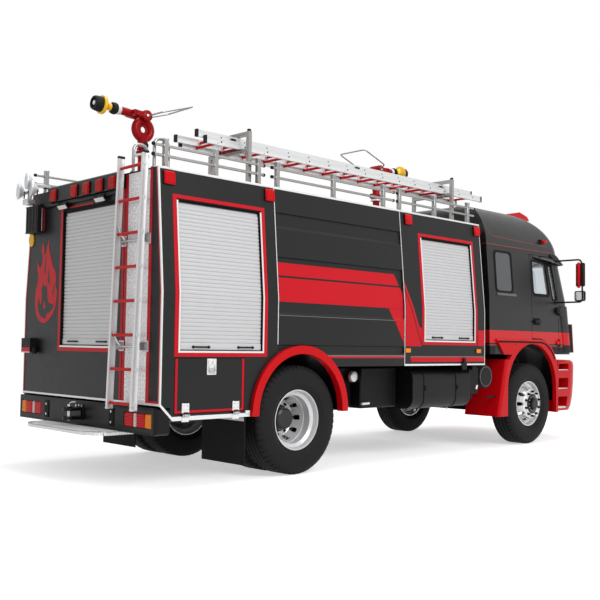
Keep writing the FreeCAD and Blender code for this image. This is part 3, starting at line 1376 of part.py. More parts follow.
def make_light_bar():
    """A wedge across the roof on a foot, thin at the rear and blunt at the front."""
    x, half = light_bar_x, light_bar_half
    wedge = side_outline([(x, 3116), (x, 3164), (x + 440, 3252), (x + 640, 3206), (x + 700, 3150),
                          (x + 520, 3120)], -half, half)
    foot = block(x + 60, x + 470, 60 - half, half - 60, 2980, 3130)
    return fused([wedge, foot]).cut(roof_shape(-seat_gap))


def save(name, shape):
    parts[name] = shape


def build():
    save("chassis_frame", make_chassis())
    save("rear_axle", make_rear_axle())
    save("front_axle", make_front_axle())
    save("engine", make_engine())
    save("fuel_tank", make_fuel_tank())
    save("air_filter", make_air_filter())
    save("battery_box", make_battery_box())
    save("silencer", make_silencer())
    save("rear_module", make_rear_module())
    save("tank_module", make_tank_module())
    save("front_module", make_front_module())
    save("shutters", make_shutters())
    save("roof_deck", make_roof_deck())
    save("roof_rails", Part.makeCompound(make_roof_rails().Solids + make_grab_rails()))
    save("ladder_gantry", make_gantry())
    save("roof_ladder", make_roof_ladder())
    save("rear_ladder", make_back_ladder())
    save("mast_tube", make_mast_tube())
    save("corner_boxes", make_mast_boxes())
    save("rear_fenders", make_rear_fenders())
    save("front_fenders", make_front_fenders())
    save("front_bumper", make_front_bumper())
    save("headlamps", make_headlamps())
    save("rear_bumper", make_rear_bumper())
    save("rear_step", make_rear_step())
    save("mudflaps", make_mudflaps())
    save("lamps", make_lamps())

    outer, inner = cab_shape(0), cab_shape(cab_wall)
    save("cab_shell", make_cab(outer, inner))
    hollow = block(0, front_reach, -body_half_width, body_half_width, cab_crease_z + 30, cab_roof_z)
    save("cab_roof", roof_shape(0).cut(roof_shape(cab_wall - 20).common(hollow)))
    save("grille", make_grille())
    glass = cab_shape(glass_inset).cut(cab_shape(glass_inset + glass_wall))
    side = glass.common(window_cutter(side_window, -seat_gap))
    save("cab_glass", Part.makeCompound([glass.common(windscreen_cutter(-seat_gap)), side, mirrored(side)]))
    save("seats", make_seats())
    save("dashboard", make_dashboard())
    save("light_bar", make_light_bar())
    for name, s in (("left", 1), ("right", -1)):
        save("door_" + name, make_door(outer, cab_shape(door_wall), s))
        panes = [glass.common(window_cutter(w, -seat_gap)) for w in (door_window, quarter_window)]
        panes = [p if s > 0 else mirrored(p) for p in panes]
        save("door_glass_" + name, Part.makeCompound(panes))
        save("mirror_" + name, make_mirror(s))
        save("flap_" + name, make_flap() if s > 0 else mirrored(make_flap()))
        save("knuckle_" + name, make_knuckle(s))
        save("front_tyre_" + name, place_wheel(spin_y(make_tyre(front_tyre_y), 0, 0), wheelbase, s))
        save("front_rim_" + name, place_wheel(make_front_rim(), wheelbase, s))
        tyres = [spin_y(make_tyre(y), 0, 0) for y in (rear_outer_tyre_y, rear_outer_tyre_y - dual_spacing)]
        save("rear_tyres_" + name, Part.makeCompound([place_wheel(t, 0, s) for t in tyres]))
        save("rear_rims_" + name, place_wheel(make_rear_rims(), 0, s))
    save("tie_rod", make_tie_rod())
    for name, x, back in (("rear", monitor_xs[0], True), ("front", monitor_xs[1], False)):
        base, barrel = make_monitor_base(x), make_monitor_barrel(x)
        if back:
            base, barrel = turned_back(base, x), turned_back(barrel, x)
        save("monitor_base_" + name, base)
        save("monitor_barrel_" + name, barrel)
    save("light_mast", make_light_mast())


def export():
    os.makedirs("parts", exist_ok=True)
    middle = (front_reach - rear_reach) / 2
    for name, shape in parts.items():
        moved = shape.copy()
        moved.translate(Vector(-middle, 0, 0))
        moved.exportStep(os.path.join("parts", name + ".step"))


build()
export()
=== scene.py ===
"""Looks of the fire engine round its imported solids. Sizes are in millimetres from the rear axle."""
from itertools import product
from math import atan, copysign, cos, hypot, pi, radians, sin
import bmesh
import bpy
from mathutils import Matrix, Vector


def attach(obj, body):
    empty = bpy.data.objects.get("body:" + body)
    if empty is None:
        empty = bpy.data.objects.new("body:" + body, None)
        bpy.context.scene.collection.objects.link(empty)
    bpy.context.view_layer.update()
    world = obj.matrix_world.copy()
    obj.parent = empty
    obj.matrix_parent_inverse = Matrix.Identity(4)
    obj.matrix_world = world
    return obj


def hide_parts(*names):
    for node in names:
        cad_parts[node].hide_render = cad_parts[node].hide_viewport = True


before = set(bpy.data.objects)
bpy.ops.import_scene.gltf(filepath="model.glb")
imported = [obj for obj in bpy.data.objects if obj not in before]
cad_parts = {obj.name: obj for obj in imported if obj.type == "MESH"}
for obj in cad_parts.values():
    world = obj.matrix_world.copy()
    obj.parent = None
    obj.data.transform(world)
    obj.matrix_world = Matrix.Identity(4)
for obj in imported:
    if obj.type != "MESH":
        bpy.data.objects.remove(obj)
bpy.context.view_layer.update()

MIDDLE_X = 1905
WHEELBASE = 4400
AXLE_Z = 538
BELT_Z, ROOF_Z = 1724, 2828
BODY_HALF, ROOF_HALF = 1245, 1146
REAR_X, SEAM_1_X, SEAM_2_X, FRONT_X = -1684, -320, 1625, 3195
BEADS = ((1190, 1280), (1571, 2140), (2420, 2580))
SIDES = (("left", 1), ("right", -1))
AHEAD, LEFT, UP = (1, 0, 0), (0, 1, 0), (0, 0, 1)
BACK, RIGHT, DOWN = (-1, 0, 0), (0, -1, 0), (0, 0, -1)


def body_side(z):
    """Half the body's width at a height."""
    return BODY_HALF - max(0, z - BELT_Z) * (BODY_HALF - ROOF_HALF) / (ROOF_Z - BELT_Z)


def tank_side(z):
    """The same on the tank module, whose sides have sunk bands."""
    sunk = 0
    for low, high in BEADS:
        if low < z < high:
            sunk = 16 * min(1, (z - low) / 26, (high - z) / 6.5)
    return body_side(z) - sunk


BREAKS = [0, BELT_Z, 4000]
TANK_BREAKS = sorted(BREAKS + [z for low, high in BEADS for z in (low, low + 26, high - 6.5, high)])


def circle(count, start=0):
    """Cosine and sine at even steps round a full turn."""
    return [(cos(t), sin(t)) for t in (2 * pi * (k + start) / count for k in range(count))]


def turned(x, y, z, angle, axis="Z"):
    """A place at a point, turned by degrees about an axis."""
    return Matrix.Translation((x, y, z)) @ Matrix.Rotation(radians(angle), 4, axis)


def rounded(path, bend):
    """A path whose corners are turned with short arcs."""
    path = [Vector(p) for p in path]
    out = [path[0]]
    for before, corner, after in zip(path, path[1:], path[2:]):
        back, on = before - corner, after - corner
        reach = min(bend, back.length * 0.49, on.length * 0.49)
        start, end = corner + back.normalized() * reach, corner + on.normalized() * reach
        for i in range(7):
            t = i / 6
            out.append(start * (1 - t) ** 2 + corner * 2 * t * (1 - t) + end * t * t)
    out.append(path[-1])
    return out


def clipped(outline, low, high):
    """The part of an (x, z) outline between two heights."""
    for limit, sign in ((low, 1), (high, -1)):
        kept = []
        for a, b in zip(outline, outline[1:] + outline[:1]):
            inside_a, inside_b = sign * (a[1] - limit) >= 0, sign * (b[1] - limit) >= 0
            if inside_a:
                kept.append(a)
            if inside_a != inside_b:
                t = (limit - a[1]) / (b[1] - a[1])
                kept.append((a[0] + (b[0] - a[0]) * t, limit))
        outline = kept
        if len(outline) < 3:
            return []
    return outline


def rect(x0, x1, z0, z1):
    return [(x0, z0), (x1, z0), (x1, z1), (x0, z1)]


def path_outline(start, curves, steps=6):
    """An outline of bent sides, each given as (control, end); tips stay sharp."""
    out, last = [], start
    for control, end in curves:
        for k in range(steps):
            t = k / steps
            out.append(tuple(last[i] * (1 - t) ** 2 + control[i] * 2 * t * (1 - t) + end[i] * t * t
                    for i in (0, 1)))
        last = end
    return out


class Piece:
    """One mesh built of closed forms. A piece of side -1 is the left one's mirror image."""

    def __init__(self, name, side=1):
        self.name, self.side = name, side
        self.points, self.faces, self.kinds, self.materials = [], [], [], []
        self.place = Matrix.Identity(4)

    def add(self, points, faces, material):
        start = len(self.points)
        if material not in self.materials:
            self.materials.append(material)
        self.points += [self.place @ Vector(p) for p in points]
        self.faces += [[start + i for i in face] for face in faces]
        self.kinds += [self.materials.index(material)] * len(faces)

    def box(self, x0, x1, y0, y1, z0, z1, material, edge=2):
        lows = (min(x0, x1), min(y0, y1), min(z0, z1))
        highs = (max(x0, x1), max(y0, y1), max(z0, z1))
        edge = min([edge] + [(b - a) * 0.45 for a, b in zip(lows, highs)])
        points, at, faces = [], {}, []
        for corner in product((0, 1), repeat=3):
            for axis in range(3):
                at[corner, axis] = len(points)
                points.append([(highs if corner[k] else lows)[k]
                               + (0 if k == axis else edge * (1 - 2 * corner[k])) for k in range(3)])
            faces.append([at[corner, axis] for axis in range(3)])

        def corner_at(axis, s, a, u, b, v):
            found = [0, 0, 0]
            found[axis], found[a], found[b] = s, u, v
            return tuple(found)

        for axis in range(3):
            a, b = [k for k in range(3) if k != axis]
            for s in (0, 1):
                faces.append([at[corner_at(axis, s, a, u, b, v), axis] for u,
                        v in ((0, 0), (1, 0), (1, 1), (0, 1))])
            for u, v in product((0, 1), repeat=2):
                first, last = corner_at(axis, 0, a, u, b, v), corner_at(axis, 1, a, u, b, v)
                faces.append([at[first, a], at[last, a], at[last, b], at[first, b]])
        self.add(points, faces, material)

    def loft(self, rings, material, closed=False):
        count, total = len(rings[0]), len(rings)
        faces = []
        for i in range(total if closed else total - 1):
            a, b = i * count, (i + 1) % total * count
            faces += [[a + j, a + (j + 1) % count, b + (j + 1) % count, b + j] for j in range(count)]
        if not closed:
            faces += [list(range(count)), list(range((total - 1) * count, total * count))]
        self.add([p for ring in rings for p in ring], faces, material)

    def prism(self, outline, axis, start, end, material, soft=0):
        """An outline in the plane across an axis, pulled along it, its rims drawn in by soft."""
        middle = [sum(p[k] for p in outline) / len(outline) for k in (0, 1)]
        reach = max(hypot(u - middle[0], v - middle[1]) for u, v in outline)

        def ring(at, shrink):
            flat = [(u + (middle[0] - u) * shrink, v + (middle[1] - v) * shrink) for u, v in outline]
            if axis == 0:
                return [(at, u, v) for u, v in flat]
            if axis == 1:
                return [(u, at, v) for u, v in flat]
            return [(u, v, at) for u, v in flat]

        if soft:
            step = soft if end > start else -soft
            self.loft([ring(start, soft / reach), ring(start + step, 0), ring(end - step, 0),
                       ring(end, soft / reach)], material)
        else:
            self.loft([ring(start, 0), ring(end, 0)], material)

    def tube(self, path, radius, material, sides=12, bend=0):
        path = rounded(path, bend) if bend else [Vector(p) for p in path]
        rings, normal = [], None
        for i, point in enumerate(path):
            before, after = path[max(i - 1, 0)], path[min(i + 1, len(path) - 1)]
            along = (after - before).normalized()
            normal = along.orthogonal() if normal is None else normal - along * normal.dot(along)
            normal.normalize()
            cross = along.cross(normal)
            rings.append([point + (normal * c + cross * s) * radius for c, s in circle(sides)])
        self.loft(rings, material)

    def lathe(self, profile, origin, axis, material, steps=32):
        """A (radius, distance) profile turned about an axis from its origin."""
        origin, axis = Vector(origin), Vector(axis).normalized()
        first = axis.orthogonal().normalized()
        cross = axis.cross(first)
        self.loft([[origin + axis * a + (first * c + cross * s) * r for c, s in circle(steps)]
                   for r, a in profile], material)

    def bolts(self, count, radius, centre, axis, profile, material, steps=6, start=0):
        """A ring of small turned pieces about an axis through the centre."""
        first, second = [k for k in range(3) if not axis[k]]
        for c, s in circle(count, start):
            at = list(centre)
            at[first] += radius * c
            at[second] += radius * s
            self.lathe(profile, at, axis, material, steps)

    def skin(self, outline, material, lift=1.6, thick=2.6, shape=body_side):
        """A thin plate that follows the body's side."""
        breaks = TANK_BREAKS if shape is tank_side else BREAKS
        for low, high in zip(breaks, breaks[1:]):
            part = clipped(outline, low, high)
            if part:
                self.loft([[(x, shape(z) + lift - thick, z) for x, z in part],
                           [(x, shape(z) + lift, z) for x, z in part]], material)

    def done(self, body, replaces=(), smooth=38):
        mesh = bpy.data.meshes.new(self.name)
        mesh.from_pydata([((p.x - MIDDLE_X) / 1000, self.side * p.y / 1000, p.z / 1000) for p in self.points],
                         [], self.faces)
        for kind in self.materials:
            mesh.materials.append(kind)
        mesh.polygons.foreach_set("material_index", self.kinds)
        mesh.polygons.foreach_set("use_smooth", [True] * len(self.faces))
        tidy = bmesh.new()
        tidy.from_mesh(mesh)
        bmesh.ops.recalc_face_normals(tidy, faces=tidy.faces)
        tidy.to_mesh(mesh)
        tidy.free()
        mesh.set_sharp_from_angle(angle=radians(smooth))
        thing = bpy.data.objects.new(self.name, mesh)
        bpy.context.collection.objects.link(thing)
        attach(thing, body)
        if replaces:
            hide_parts(*replaces)
        return thing


def shade(name):
    made = bpy.data.materials.new(name)
    made.use_nodes = True
    tree = made.node_tree
    place = tree.nodes.new("ShaderNodeTexCoord").outputs["Object"]
    return made, tree, tree.nodes["Principled BSDF"], place


def feed(tree, made, inputs):
    """Links or sets the inputs of a node."""
    for key, value in inputs.items():
        if hasattr(value, "links"):
            tree.links.new(value, made.inputs[key])
        else:
            made.inputs[key].default_value = value


def add_node(tree, kind, inputs, **settings):
    made = tree.nodes.new("ShaderNode" + kind)
    for key, value in settings.items():
        setattr(made, key, value)
    feed(tree, made, inputs)
    return made


def noise(tree, place, scale, detail=3, stretch=None):
    if stretch:
        place = add_node(tree, "Mapping", {"Vector": place, "Scale": stretch}).outputs["Vector"]
    return add_node(tree, "TexNoise", {"Vector": place, "Scale": scale, "Detail": detail}).outputs["Fac"]


def blend_colour(tree, factor, *ends):
    first, second = (end if hasattr(end, "links") else (*end, 1) for end in ends)
    return add_node(tree, "Mix", {0: factor, 6: first, 7: second}, data_type="RGBA").outputs[2]


def maths(tree, kind, *values):
    return add_node(tree, "Math", dict(enumerate(values)), operation=kind).outputs[0]


def split(tree, place):
    return add_node(tree, "SeparateXYZ", {0: place}).outputs


def emboss(tree, shader, height, strength, distance=0.001):
    relief = add_node(tree, "Bump", {"Height": height, "Strength": strength, "Distance": distance})
    tree.links.new(relief.outputs["Normal"], shader.inputs["Normal"])


def finish(name, colour, rough=0.4, metal=0, spread=0.12, grain=3, bump=0, bump_grain=120,
           stretch=None, rough_spread=0.08, masks=(), sockets=None):
    """A surface whose tone, gloss and relief vary a little. masks lay further colours over it."""
    made, tree, shader, place = shade(name)
    ends = [tuple(min(1, c * (1 + sign * spread)) for c in colour) for sign in (-1, 1)]
    base = blend_colour(tree, noise(tree, place, grain, 4, stretch), *ends)
    for test, over in masks:
        base = blend_colour(tree, test(tree, place), base, over)
    gloss = add_node(tree, "MapRange", {
        "Value": noise(tree, place, grain * 4, 5, stretch), "To Min": max(0.02, rough - rough_spread),
        "To Max": min(1, rough + rough_spread)}).outputs["Result"]
    if bump:
        emboss(tree, shader, noise(tree, place, bump_grain, 4, stretch), bump)
    feed(tree, shader, {"Base Color": base, "Roughness": gloss, "Metallic": metal, **(sockets or {})})
    return made


def band(axis, low, high):
    """True between two places along an axis, in metres. Across the vehicle it holds on both sides."""
    def test(tree, place):
        value = split(tree, place)["XYZ".index(axis)]
        if axis == "Y":
            value = maths(tree, "ABSOLUTE", value)
        return maths(tree, "COMPARE", value, (low + high) / 2, (high - low) / 2)
    return test


def both(first, second):
    """True where two masks are true."""
    def test(tree, place):
        return maths(tree, "MULTIPLY", first(tree, place), second(tree, place))
    return test


def within(x, z, radius):
    """True nearer than radius to a line across the vehicle, in metres."""
    def test(tree, place):
        for kind, value in (("SUBTRACT", (x, 0, z)), ("MULTIPLY", (1, 0, 1))):
            place = add_node(tree, "VectorMath", {0: place, 1: value}, operation=kind).outputs[0]
        length = add_node(tree, "VectorMath", {0: place}, operation="LENGTH").outputs["Value"]
        return maths(tree, "LESS_THAN", length, radius)
    return test


def near_line(a, b, half):
    """True nearer than half to the line between two (x, z) points, seen from the side."""
    def test(tree, place):
        ax, az = (a[0] - MIDDLE_X) / 1000, a[1] / 1000
        dx, dz = (b[0] - a[0]) / 1000, (b[1] - a[1]) / 1000
        size = dx * dx + dz * dz
        parts = split(tree, place)
        px = maths(tree, "SUBTRACT", parts[0], ax)
        pz = maths(tree, "SUBTRACT", parts[2], az)
        along = maths(tree, "MULTIPLY_ADD", px, dx / size, maths(tree, "MULTIPLY", pz, dz / size))
        along = maths(tree, "MINIMUM", maths(tree, "MAXIMUM", along, 0), 1)
        gap_x, gap_z = (maths(tree, "SUBTRACT", at, maths(tree, "MULTIPLY", along, d))
                        for at, d in ((px, dx), (pz, dz)))
        apart = maths(tree, "MULTIPLY_ADD", gap_x, gap_x, maths(tree, "MULTIPLY", gap_z, gap_z))
        return maths(tree, "LESS_THAN", apart, (half / 1000) ** 2)
    return test


def glass(name):
    made, tree, shader, place = shade(name)
    base = blend_colour(tree, noise(tree, place, 2), tuple(c * 0.96 for c in PANE), PANE)
    feed(tree, shader, {"Base Color": base, "Roughness": 0.02, "Transmission Weight": 0.93, "IOR": 1.45})
    return made


def lens(name, colour, glow=0):
    """A moulded lamp lens with fine upright flutes."""
    made, tree, shader, place = shade(name)
    wave = add_node(tree, "TexWave", {"Vector": place, "Scale": 60, "Distortion": 0.6},
                    bands_direction="DIAGONAL").outputs["Fac"]
    emboss(tree, shader, wave, 0.35)
    feed(tree, shader, {"Base Color": blend_colour(tree, wave, tuple(c * 0.72 for c in colour), colour),
                        "Roughness": 0.12, "Specular IOR Level": 0.10, "Coat Weight": 0.05,
                        "Coat Roughness": 0.04})
    if glow:
        feed(tree, shader, {"Emission Color": (*colour, 1), "Emission Strength": glow})
    return made


def tread_plate(name):
    """Aluminium plate with raised bars in pairs, each pair across the last, on flat and upright faces."""
    made, tree, shader, place = shade(name)
    parts = split(tree, place)
    length = maths(tree, "ADD", parts[0], parts[2])
    sines = [maths(tree, "SINE", maths(tree, "MULTIPLY", maths(tree, kind, length, parts[1]), 80))
             for kind in ("ADD", "SUBTRACT")]
    waves = [maths(tree, "POWER", maths(tree, "ABSOLUTE", sine), 5) for sine in sines]
    turn = maths(tree, "GREATER_THAN", maths(tree, "MULTIPLY", *sines), 0)
    bars = add_node(tree, "Mix", {0: turn, 2: waves[0], 3: waves[1]}).outputs[0]
    emboss(tree, shader, bars, 0.8, 0.003)
    # The raised bars are painted lighter than the plate between them: a painted highlight on the bars.
    feed(tree, shader, {"Base Color": blend_colour(tree, bars, (0.40, 0.405, 0.41), (0.70, 0.705, 0.71)),
                        "Metallic": 0.85, "Roughness": 0.34})
    return made


PANE = (0.80, 0.84, 0.86)
# The last of these is painted shade for the fenders' inner faces.
BLACK, RED, ARCH_SHADE = (0.0055, 0.0058, 0.0062), (0.52, 0.002, 0.005), (0.005, 0.005, 0.005)
STRIPE, HUB_BLACK, HUB = (0.20, 0.006, 0.010), (0.012, 0.012, 0.012), 0.139
LOW_SHINE = {"Specular IOR Level": 0.16}
GLOSSY = {"Specular IOR Level": 0.10, "Coat Weight": 0.07, "Coat Roughness": 0.06}
charcoal = finish("charcoal_paint", BLACK, 0.42, bump=0.05, bump_grain=400,
        sockets={"Specular IOR Level": 0.25})
deep_black = finish("deep_black", (0.003, 0.003, 0.003), 0.6, sockets={"Specular IOR Level": 0.1})
red = finish("red_paint", RED, 0.3, spread=0.06, bump=0.04, bump_grain=300, sockets=GLOSSY)
red_film = finish("red_film", (0.50, 0.004, 0.012), 0.40, spread=0.05, sockets=LOW_SHINE)
red_deep = finish("red_casting", (0.30, 0.002, 0.004), 0.36, bump=0.35, bump_grain=260, sockets=GLOSSY)
red_dark = finish("red_dark", (0.16, 0.012, 0.016), 0.38)
grey_film = finish("grey_film", (0.13, 0.12, 0.115), 0.4)
slat = finish("shutter_slats", (0.52, 0.52, 0.53), 0.42, 0.25, spread=0.03, grain=5, bump=0.08, bump_grain=60,
              stretch=(1, 1, 14))
silver = finish("silver_trim", (0.74, 0.735, 0.73), 0.33, 0.35, spread=0.05, bump=0.06, bump_grain=90)
stainless = finish("stainless_tube", (0.34, 0.335, 0.33), 0.30, 0.9, spread=0.04, grain=9, bump=0.05,
        bump_grain=200)
ladder_metal = finish("ladder_aluminium", (0.66, 0.665, 0.67), 0.36, 0.35, spread=0.06, grain=6, bump=0.08,
                      bump_grain=40, stretch=(1, 12, 12))
bright_steel = finish("zinc_steel", (0.48, 0.48, 0.49), 0.3, 0.9, spread=0.15, grain=14)
wheel_silver = finish("wheel_silver", (0.70, 0.70, 0.71), 0.27, 0.6, spread=0.05, bump=0.05)
chassis_black = finish("chassis_black", (0.003, 0.003, 0.003), 0.5, bump=0.2, bump_grain=90,
        sockets=LOW_SHINE)
tank_black = finish("tank_black", (0.0045, 0.0047, 0.005), 0.38, bump=0.08, bump_grain=150, sockets=LOW_SHINE)
plastic = finish("black_plastic", (0.007, 0.007, 0.0077), 0.55, bump=0.3, bump_grain=700, sockets=LOW_SHINE)
rubber = finish("rubber", (0.006, 0.006, 0.0063), 0.72, bump=0.25, bump_grain=500, sockets=LOW_SHINE)
tyre_rubber = finish("tyre_rubber", (0.009, 0.009, 0.0094), 0.66, spread=0.25, grain=12, bump=0.35,
        bump_grain=180,
                     sockets=LOW_SHINE)
yellow = finish("yellow_anodised", (0.80, 0.46, 0.02), 0.28, 0.35, spread=0.08)
red_lens = lens("red_lens", (0.62, 0.003, 0.008), 0.04)
red_lens_dim = lens("red_lens_dim", (0.50, 0.001, 0.002))
yellow_lens = lens("yellow_lens", (0.86, 0.46, 0.01), 0.06)
amber_lens = lens("amber_lens", (0.85, 0.25, 0.015), 0.08)
clear_lens = lens("clear_lens", (0.72, 0.73, 0.75))
white_lens = lens("white_lens", (0.82, 0.78, 0.76))
clear_glass = glass("clear_glass")
mirror_face = finish("mirror_face", (0.75, 0.76, 0.78), 0.05, 1, spread=0.01, rough_spread=0.02)
plate = tread_plate("tread_plate")
plate_base = finish("plate_base", (0.76, 0.76, 0.765), 0.40, 0.2, spread=0.10, grain=24)
plate_bar = finish("plate_bar", (0.80, 0.80, 0.81), 0.22, 0.85, spread=0.05, grain=30)
ledge = finish("window_ledge", (0.09, 0.09, 0.093), 0.35, spread=0.06)
visor_mesh = finish("visor_mesh", (0.030, 0.031, 0.033), 0.45, spread=0.4, grain=90, bump=0.5, bump_grain=600)
lamp_shell = finish("lamp_shell", (0.66, 0.67, 0.69), 0.32, 0.25, spread=0.05)
# A grey ring on the filter's dark cap: a painted highlight on its rim.
filter_rim_highlight = finish("filter_rim_highlight", (0.10, 0.10, 0.105), 0.4)
cab_paint = finish("cab_paint", BLACK, 0.36, bump=0.04, bump_grain=400, sockets={"Specular IOR Level": 0.34},
                   masks=((band("Z", 1.314, 1.322), RED), (band("Z", 1.345, 1.507), RED)))
roof_paint = finish("roof_paint", BLACK, 0.34, bump=0.04, bump_grain=400,
        sockets={"Specular IOR Level": 0.40},
                    masks=((band("Z", 2.60, 2.624), (0.16, 0.012, 0.016)),
                           (near_line((3525, 2731), (4909, 2699), 4), STRIPE),
                           (near_line((3433, 2850), (3525, 2731), 4), STRIPE)))
# The fenders' inner faces are painted near black: painted shade under the rear fenders and inside the front
# wheel arches.
rear_fender_paint = finish("rear_fender_paint", RED, 0.3, spread=0.06, sockets=GLOSSY,
                           masks=((band("Y", 0, 1.2), ARCH_SHADE),))
front_arch = within((WHEELBASE - 14 - MIDDLE_X) / 1000, 0.700, 0.652)
front_fender_paint = finish("front_fender_paint", RED, 0.3, spread=0.06, sockets=GLOSSY,
                            masks=((both(band("Y", 0, 1.159), front_arch), ARCH_SHADE),))
wheel_front = finish("wheel_front", (0.70, 0.70, 0.71), 0.27, 0.6, spread=0.05,
                     masks=((within((WHEELBASE - MIDDLE_X) / 1000, AXLE_Z / 1000, HUB), HUB_BLACK),))
wheel_rear = finish("wheel_rear", (0.62, 0.62, 0.63), 0.33, 0.3, spread=0.05,
                    masks=((within(-MIDDLE_X / 1000, AXLE_Z / 1000, HUB), HUB_BLACK),))
cab_glass_tint = glass("cab_glass_tint")
side_glass = finish("dark_side_glass", (0.045, 0.047, 0.05), 0.08, sockets={"Specular IOR Level": 0.6})
fabric = finish("seat_fabric", (0.045, 0.047, 0.052), 0.85, spread=0.3, grain=60, bump=0.6, bump_grain=900,
                sockets={"Sheen Weight": 0.3})
piping = finish("seat_piping", (0.02, 0.02, 0.022), 0.6)

for kind, names in (
        (chassis_black, "chassis_frame rear_axle front_axle engine knuckle_left knuckle_right tie_rod"),
        (tank_black, "fuel_tank rear_bumper"),
        (plastic, "air_filter battery_box corner_boxes grille dashboard"),
        (bright_steel, "silencer mast_tube"), (stainless, "roof_rails ladder_gantry"), (plate, "roof_deck"),
        (charcoal, "rear_module tank_module front_module flap_left flap_right"), (rubber, "mudflaps"),
        (rear_fender_paint, "rear_fenders"), (front_fender_paint, "front_fenders"), (red, "front_bumper"),
        (cab_paint, "cab_shell door_left door_right"), (roof_paint, "cab_roof"), (red_lens, "light_bar"),
        (cab_glass_tint, "cab_glass"), (clear_glass, "door_glass_left door_glass_right"),
        (clear_lens, "headlamps"), (wheel_front, "front_rim_left front_rim_right"),
        (wheel_rear, "rear_rims_left rear_rims_right"), (red_deep, "monitor_base_rear monitor_base_front")):
    for name in names.split():
        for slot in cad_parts[name].material_slots:
            slot.material = kind


def handle_bar(piece, x0, x1, y, z):
    """A rounded grip on two feet, standing off the surface at y."""
    piece.tube([(x0, y, z), (x0, y + 22, z), (x1, y + 22, z), (x1, y, z)], 8, plastic, 10, 12)
    for x in (x0, x1):
        piece.lathe([(14, 0), (14, 3), (9, 6)], (x, y, z), LEFT, plastic, 16)


def slat_section(z0, z1, depth_of):
    """Outline of a roller curtain: a deep bottom rail, then slats with a groove between each."""
    outer = [(-24, z0), (-15, z0), (-13, z0 + 3), (-13, z0 + 58), (-16, z0 + 62), (-23, z0 + 62)]
    z, pitch = z0 + 64, 36
    while z + pitch < z1:
        outer += [(-23, z), (-19, z + 2), (-16.6, z + 8), (-15.8, z + 17), (-16.6, z + 26), (-19, z + 32),
                  (-23, z + 34)]
        z += pitch
    outer += [(-23, z1)]
    path = [(depth_of(z) + d, z) for d, z in outer]
    return path + [(depth_of(z1) - 27.5, z1), (depth_of(BELT_Z) - 27.5, BELT_Z), (depth_of(z0) - 27.5, z0)]


def side_shutter(label, x0, x1, z0, z1, name, side):
    p = Piece("shutter_%s_%s" % (label, name), side)
    gap = 13
    p.prism(slat_section(z0 + gap * 0.6, z1 - gap, body_side), 0, x0 + gap, x1 - gap, slat)
    # Black strips sunk in the gaps round the curtain: painted shade in the gaps.
    for x in (x0 + 0.5, x1 - gap):
        p.skin(rect(x, x + gap - 0.5, z0, z1), deep_black, -12, 14)
    p.skin(rect(x0 + 1, x1 - 1, z1 - gap - 2, z1 - 0.5), deep_black, -8, 18)
    p.skin(rect(x0 + 1, x1 - 1, z0 + 0.5, z0 + gap * 0.6), deep_black, -8, 18)
    for part in (rect(x0 - 17, x0, z0 - 17, z1), rect(x1, x1 + 17, z0 - 17, z1), rect(x0, x1, z0 - 17, z0)):
        p.skin(part, silver, 4, 5)
    p.skin(rect(x0 - 17, x1 + 17, z1, z1 + 16), deep_black, 3)
    for part in (rect(x0 - 59, x0 - 17, z0 - 52, z1 + 50), rect(x1 + 17, x1 + 59, z0 - 52, z1 + 50),
                 rect(x0 - 17, x1 + 17, z1 + 16, z1 + 50), rect(x0 - 17, x1 + 17, z0 - 52, z0 - 17)):
        p.skin(part, red_film, 2)
    width = x1 - x0
    for share in (0.16, 0.70):
        handle_bar(p, x0 + width * share, x0 + width * (share + 0.18), body_side(z0) - 13, z0 + 34)
    p.done("chassis", ["shutters"])


def rear_shutter():
    half, (z0, z1) = 474, (1243, 2587)
    p = Piece("shutter_rear")
    outline = [(REAR_X - d, z) for d, z in slat_section(z0 + 8, z1 - 20, lambda z: 0)]
    p.prism(outline, 1, -half + 13, half - 13, slat)
    # Black boxes set in the gaps round the curtain: painted shade in the gaps.
    for y0, y1, a, b in ((-half, -half + 13, z0, z1), (half - 13, half, z0, z1), (-half, half, z1 - 22, z1),
                         (-half, half, z0, z0 + 8)):
        p.box(REAR_X + 8, REAR_X + 30, y0, y1, a, b, deep_black, 0.5)
    p.box(REAR_X - 6, REAR_X + 1, -half - 16, half + 16, z0 - 18, z0, silver)
    for s in (1, -1):
        p.box(REAR_X - 4, REAR_X + 1, s * half, s * (half + 18), z0 - 18, z1 + 16, deep_black)
        p.box(REAR_X - 2.4, REAR_X + 1, s * (half + 18), s * (half + 60), z0 - 55, z1 + 60, red_film, 0.6)
    p.box(REAR_X - 2.4, REAR_X + 1, -half - 18, half + 18, z0 - 55, z0 - 18, red_film, 0.6)
    p.box(REAR_X - 5, REAR_X + 1, -half - 16, half + 16, z1, z1 + 16, deep_black)
    for y in (330, -200):
        p.tube([(REAR_X + 13, y, z0 + 40), (REAR_X - 8, y, z0 + 40), (REAR_X - 8, y - 160, z0 + 40),
                (REAR_X + 13, y - 160, z0 + 40)], 8, plastic, 10, 12)
    p.done("chassis", ["shutters"])


def square_lamp(p, place, material, depth=34):
    """A square marker lamp on a dark base, its lens with a raised centre and five ribs."""
    p.place, half = place, 62
    p.box(-half, half, -2, 9, -half, half, deep_black, 3)
    p.box(-half + 3, half - 3, 8, depth - 8, -half + 3, half - 3, material, 7)
    p.box(-half + 10, half - 10, depth - 10, depth - 3, -half + 10, half - 10, material, 6)
    for i in range(5):
        x = -half + 14 + i * (2 * half - 28) / 5
        p.box(x + 1, x + (2 * half - 28) / 5 - 1, depth - 5, depth, -half + 15, half - 15, material, 2.4)
    p.place = Matrix.Identity(4)


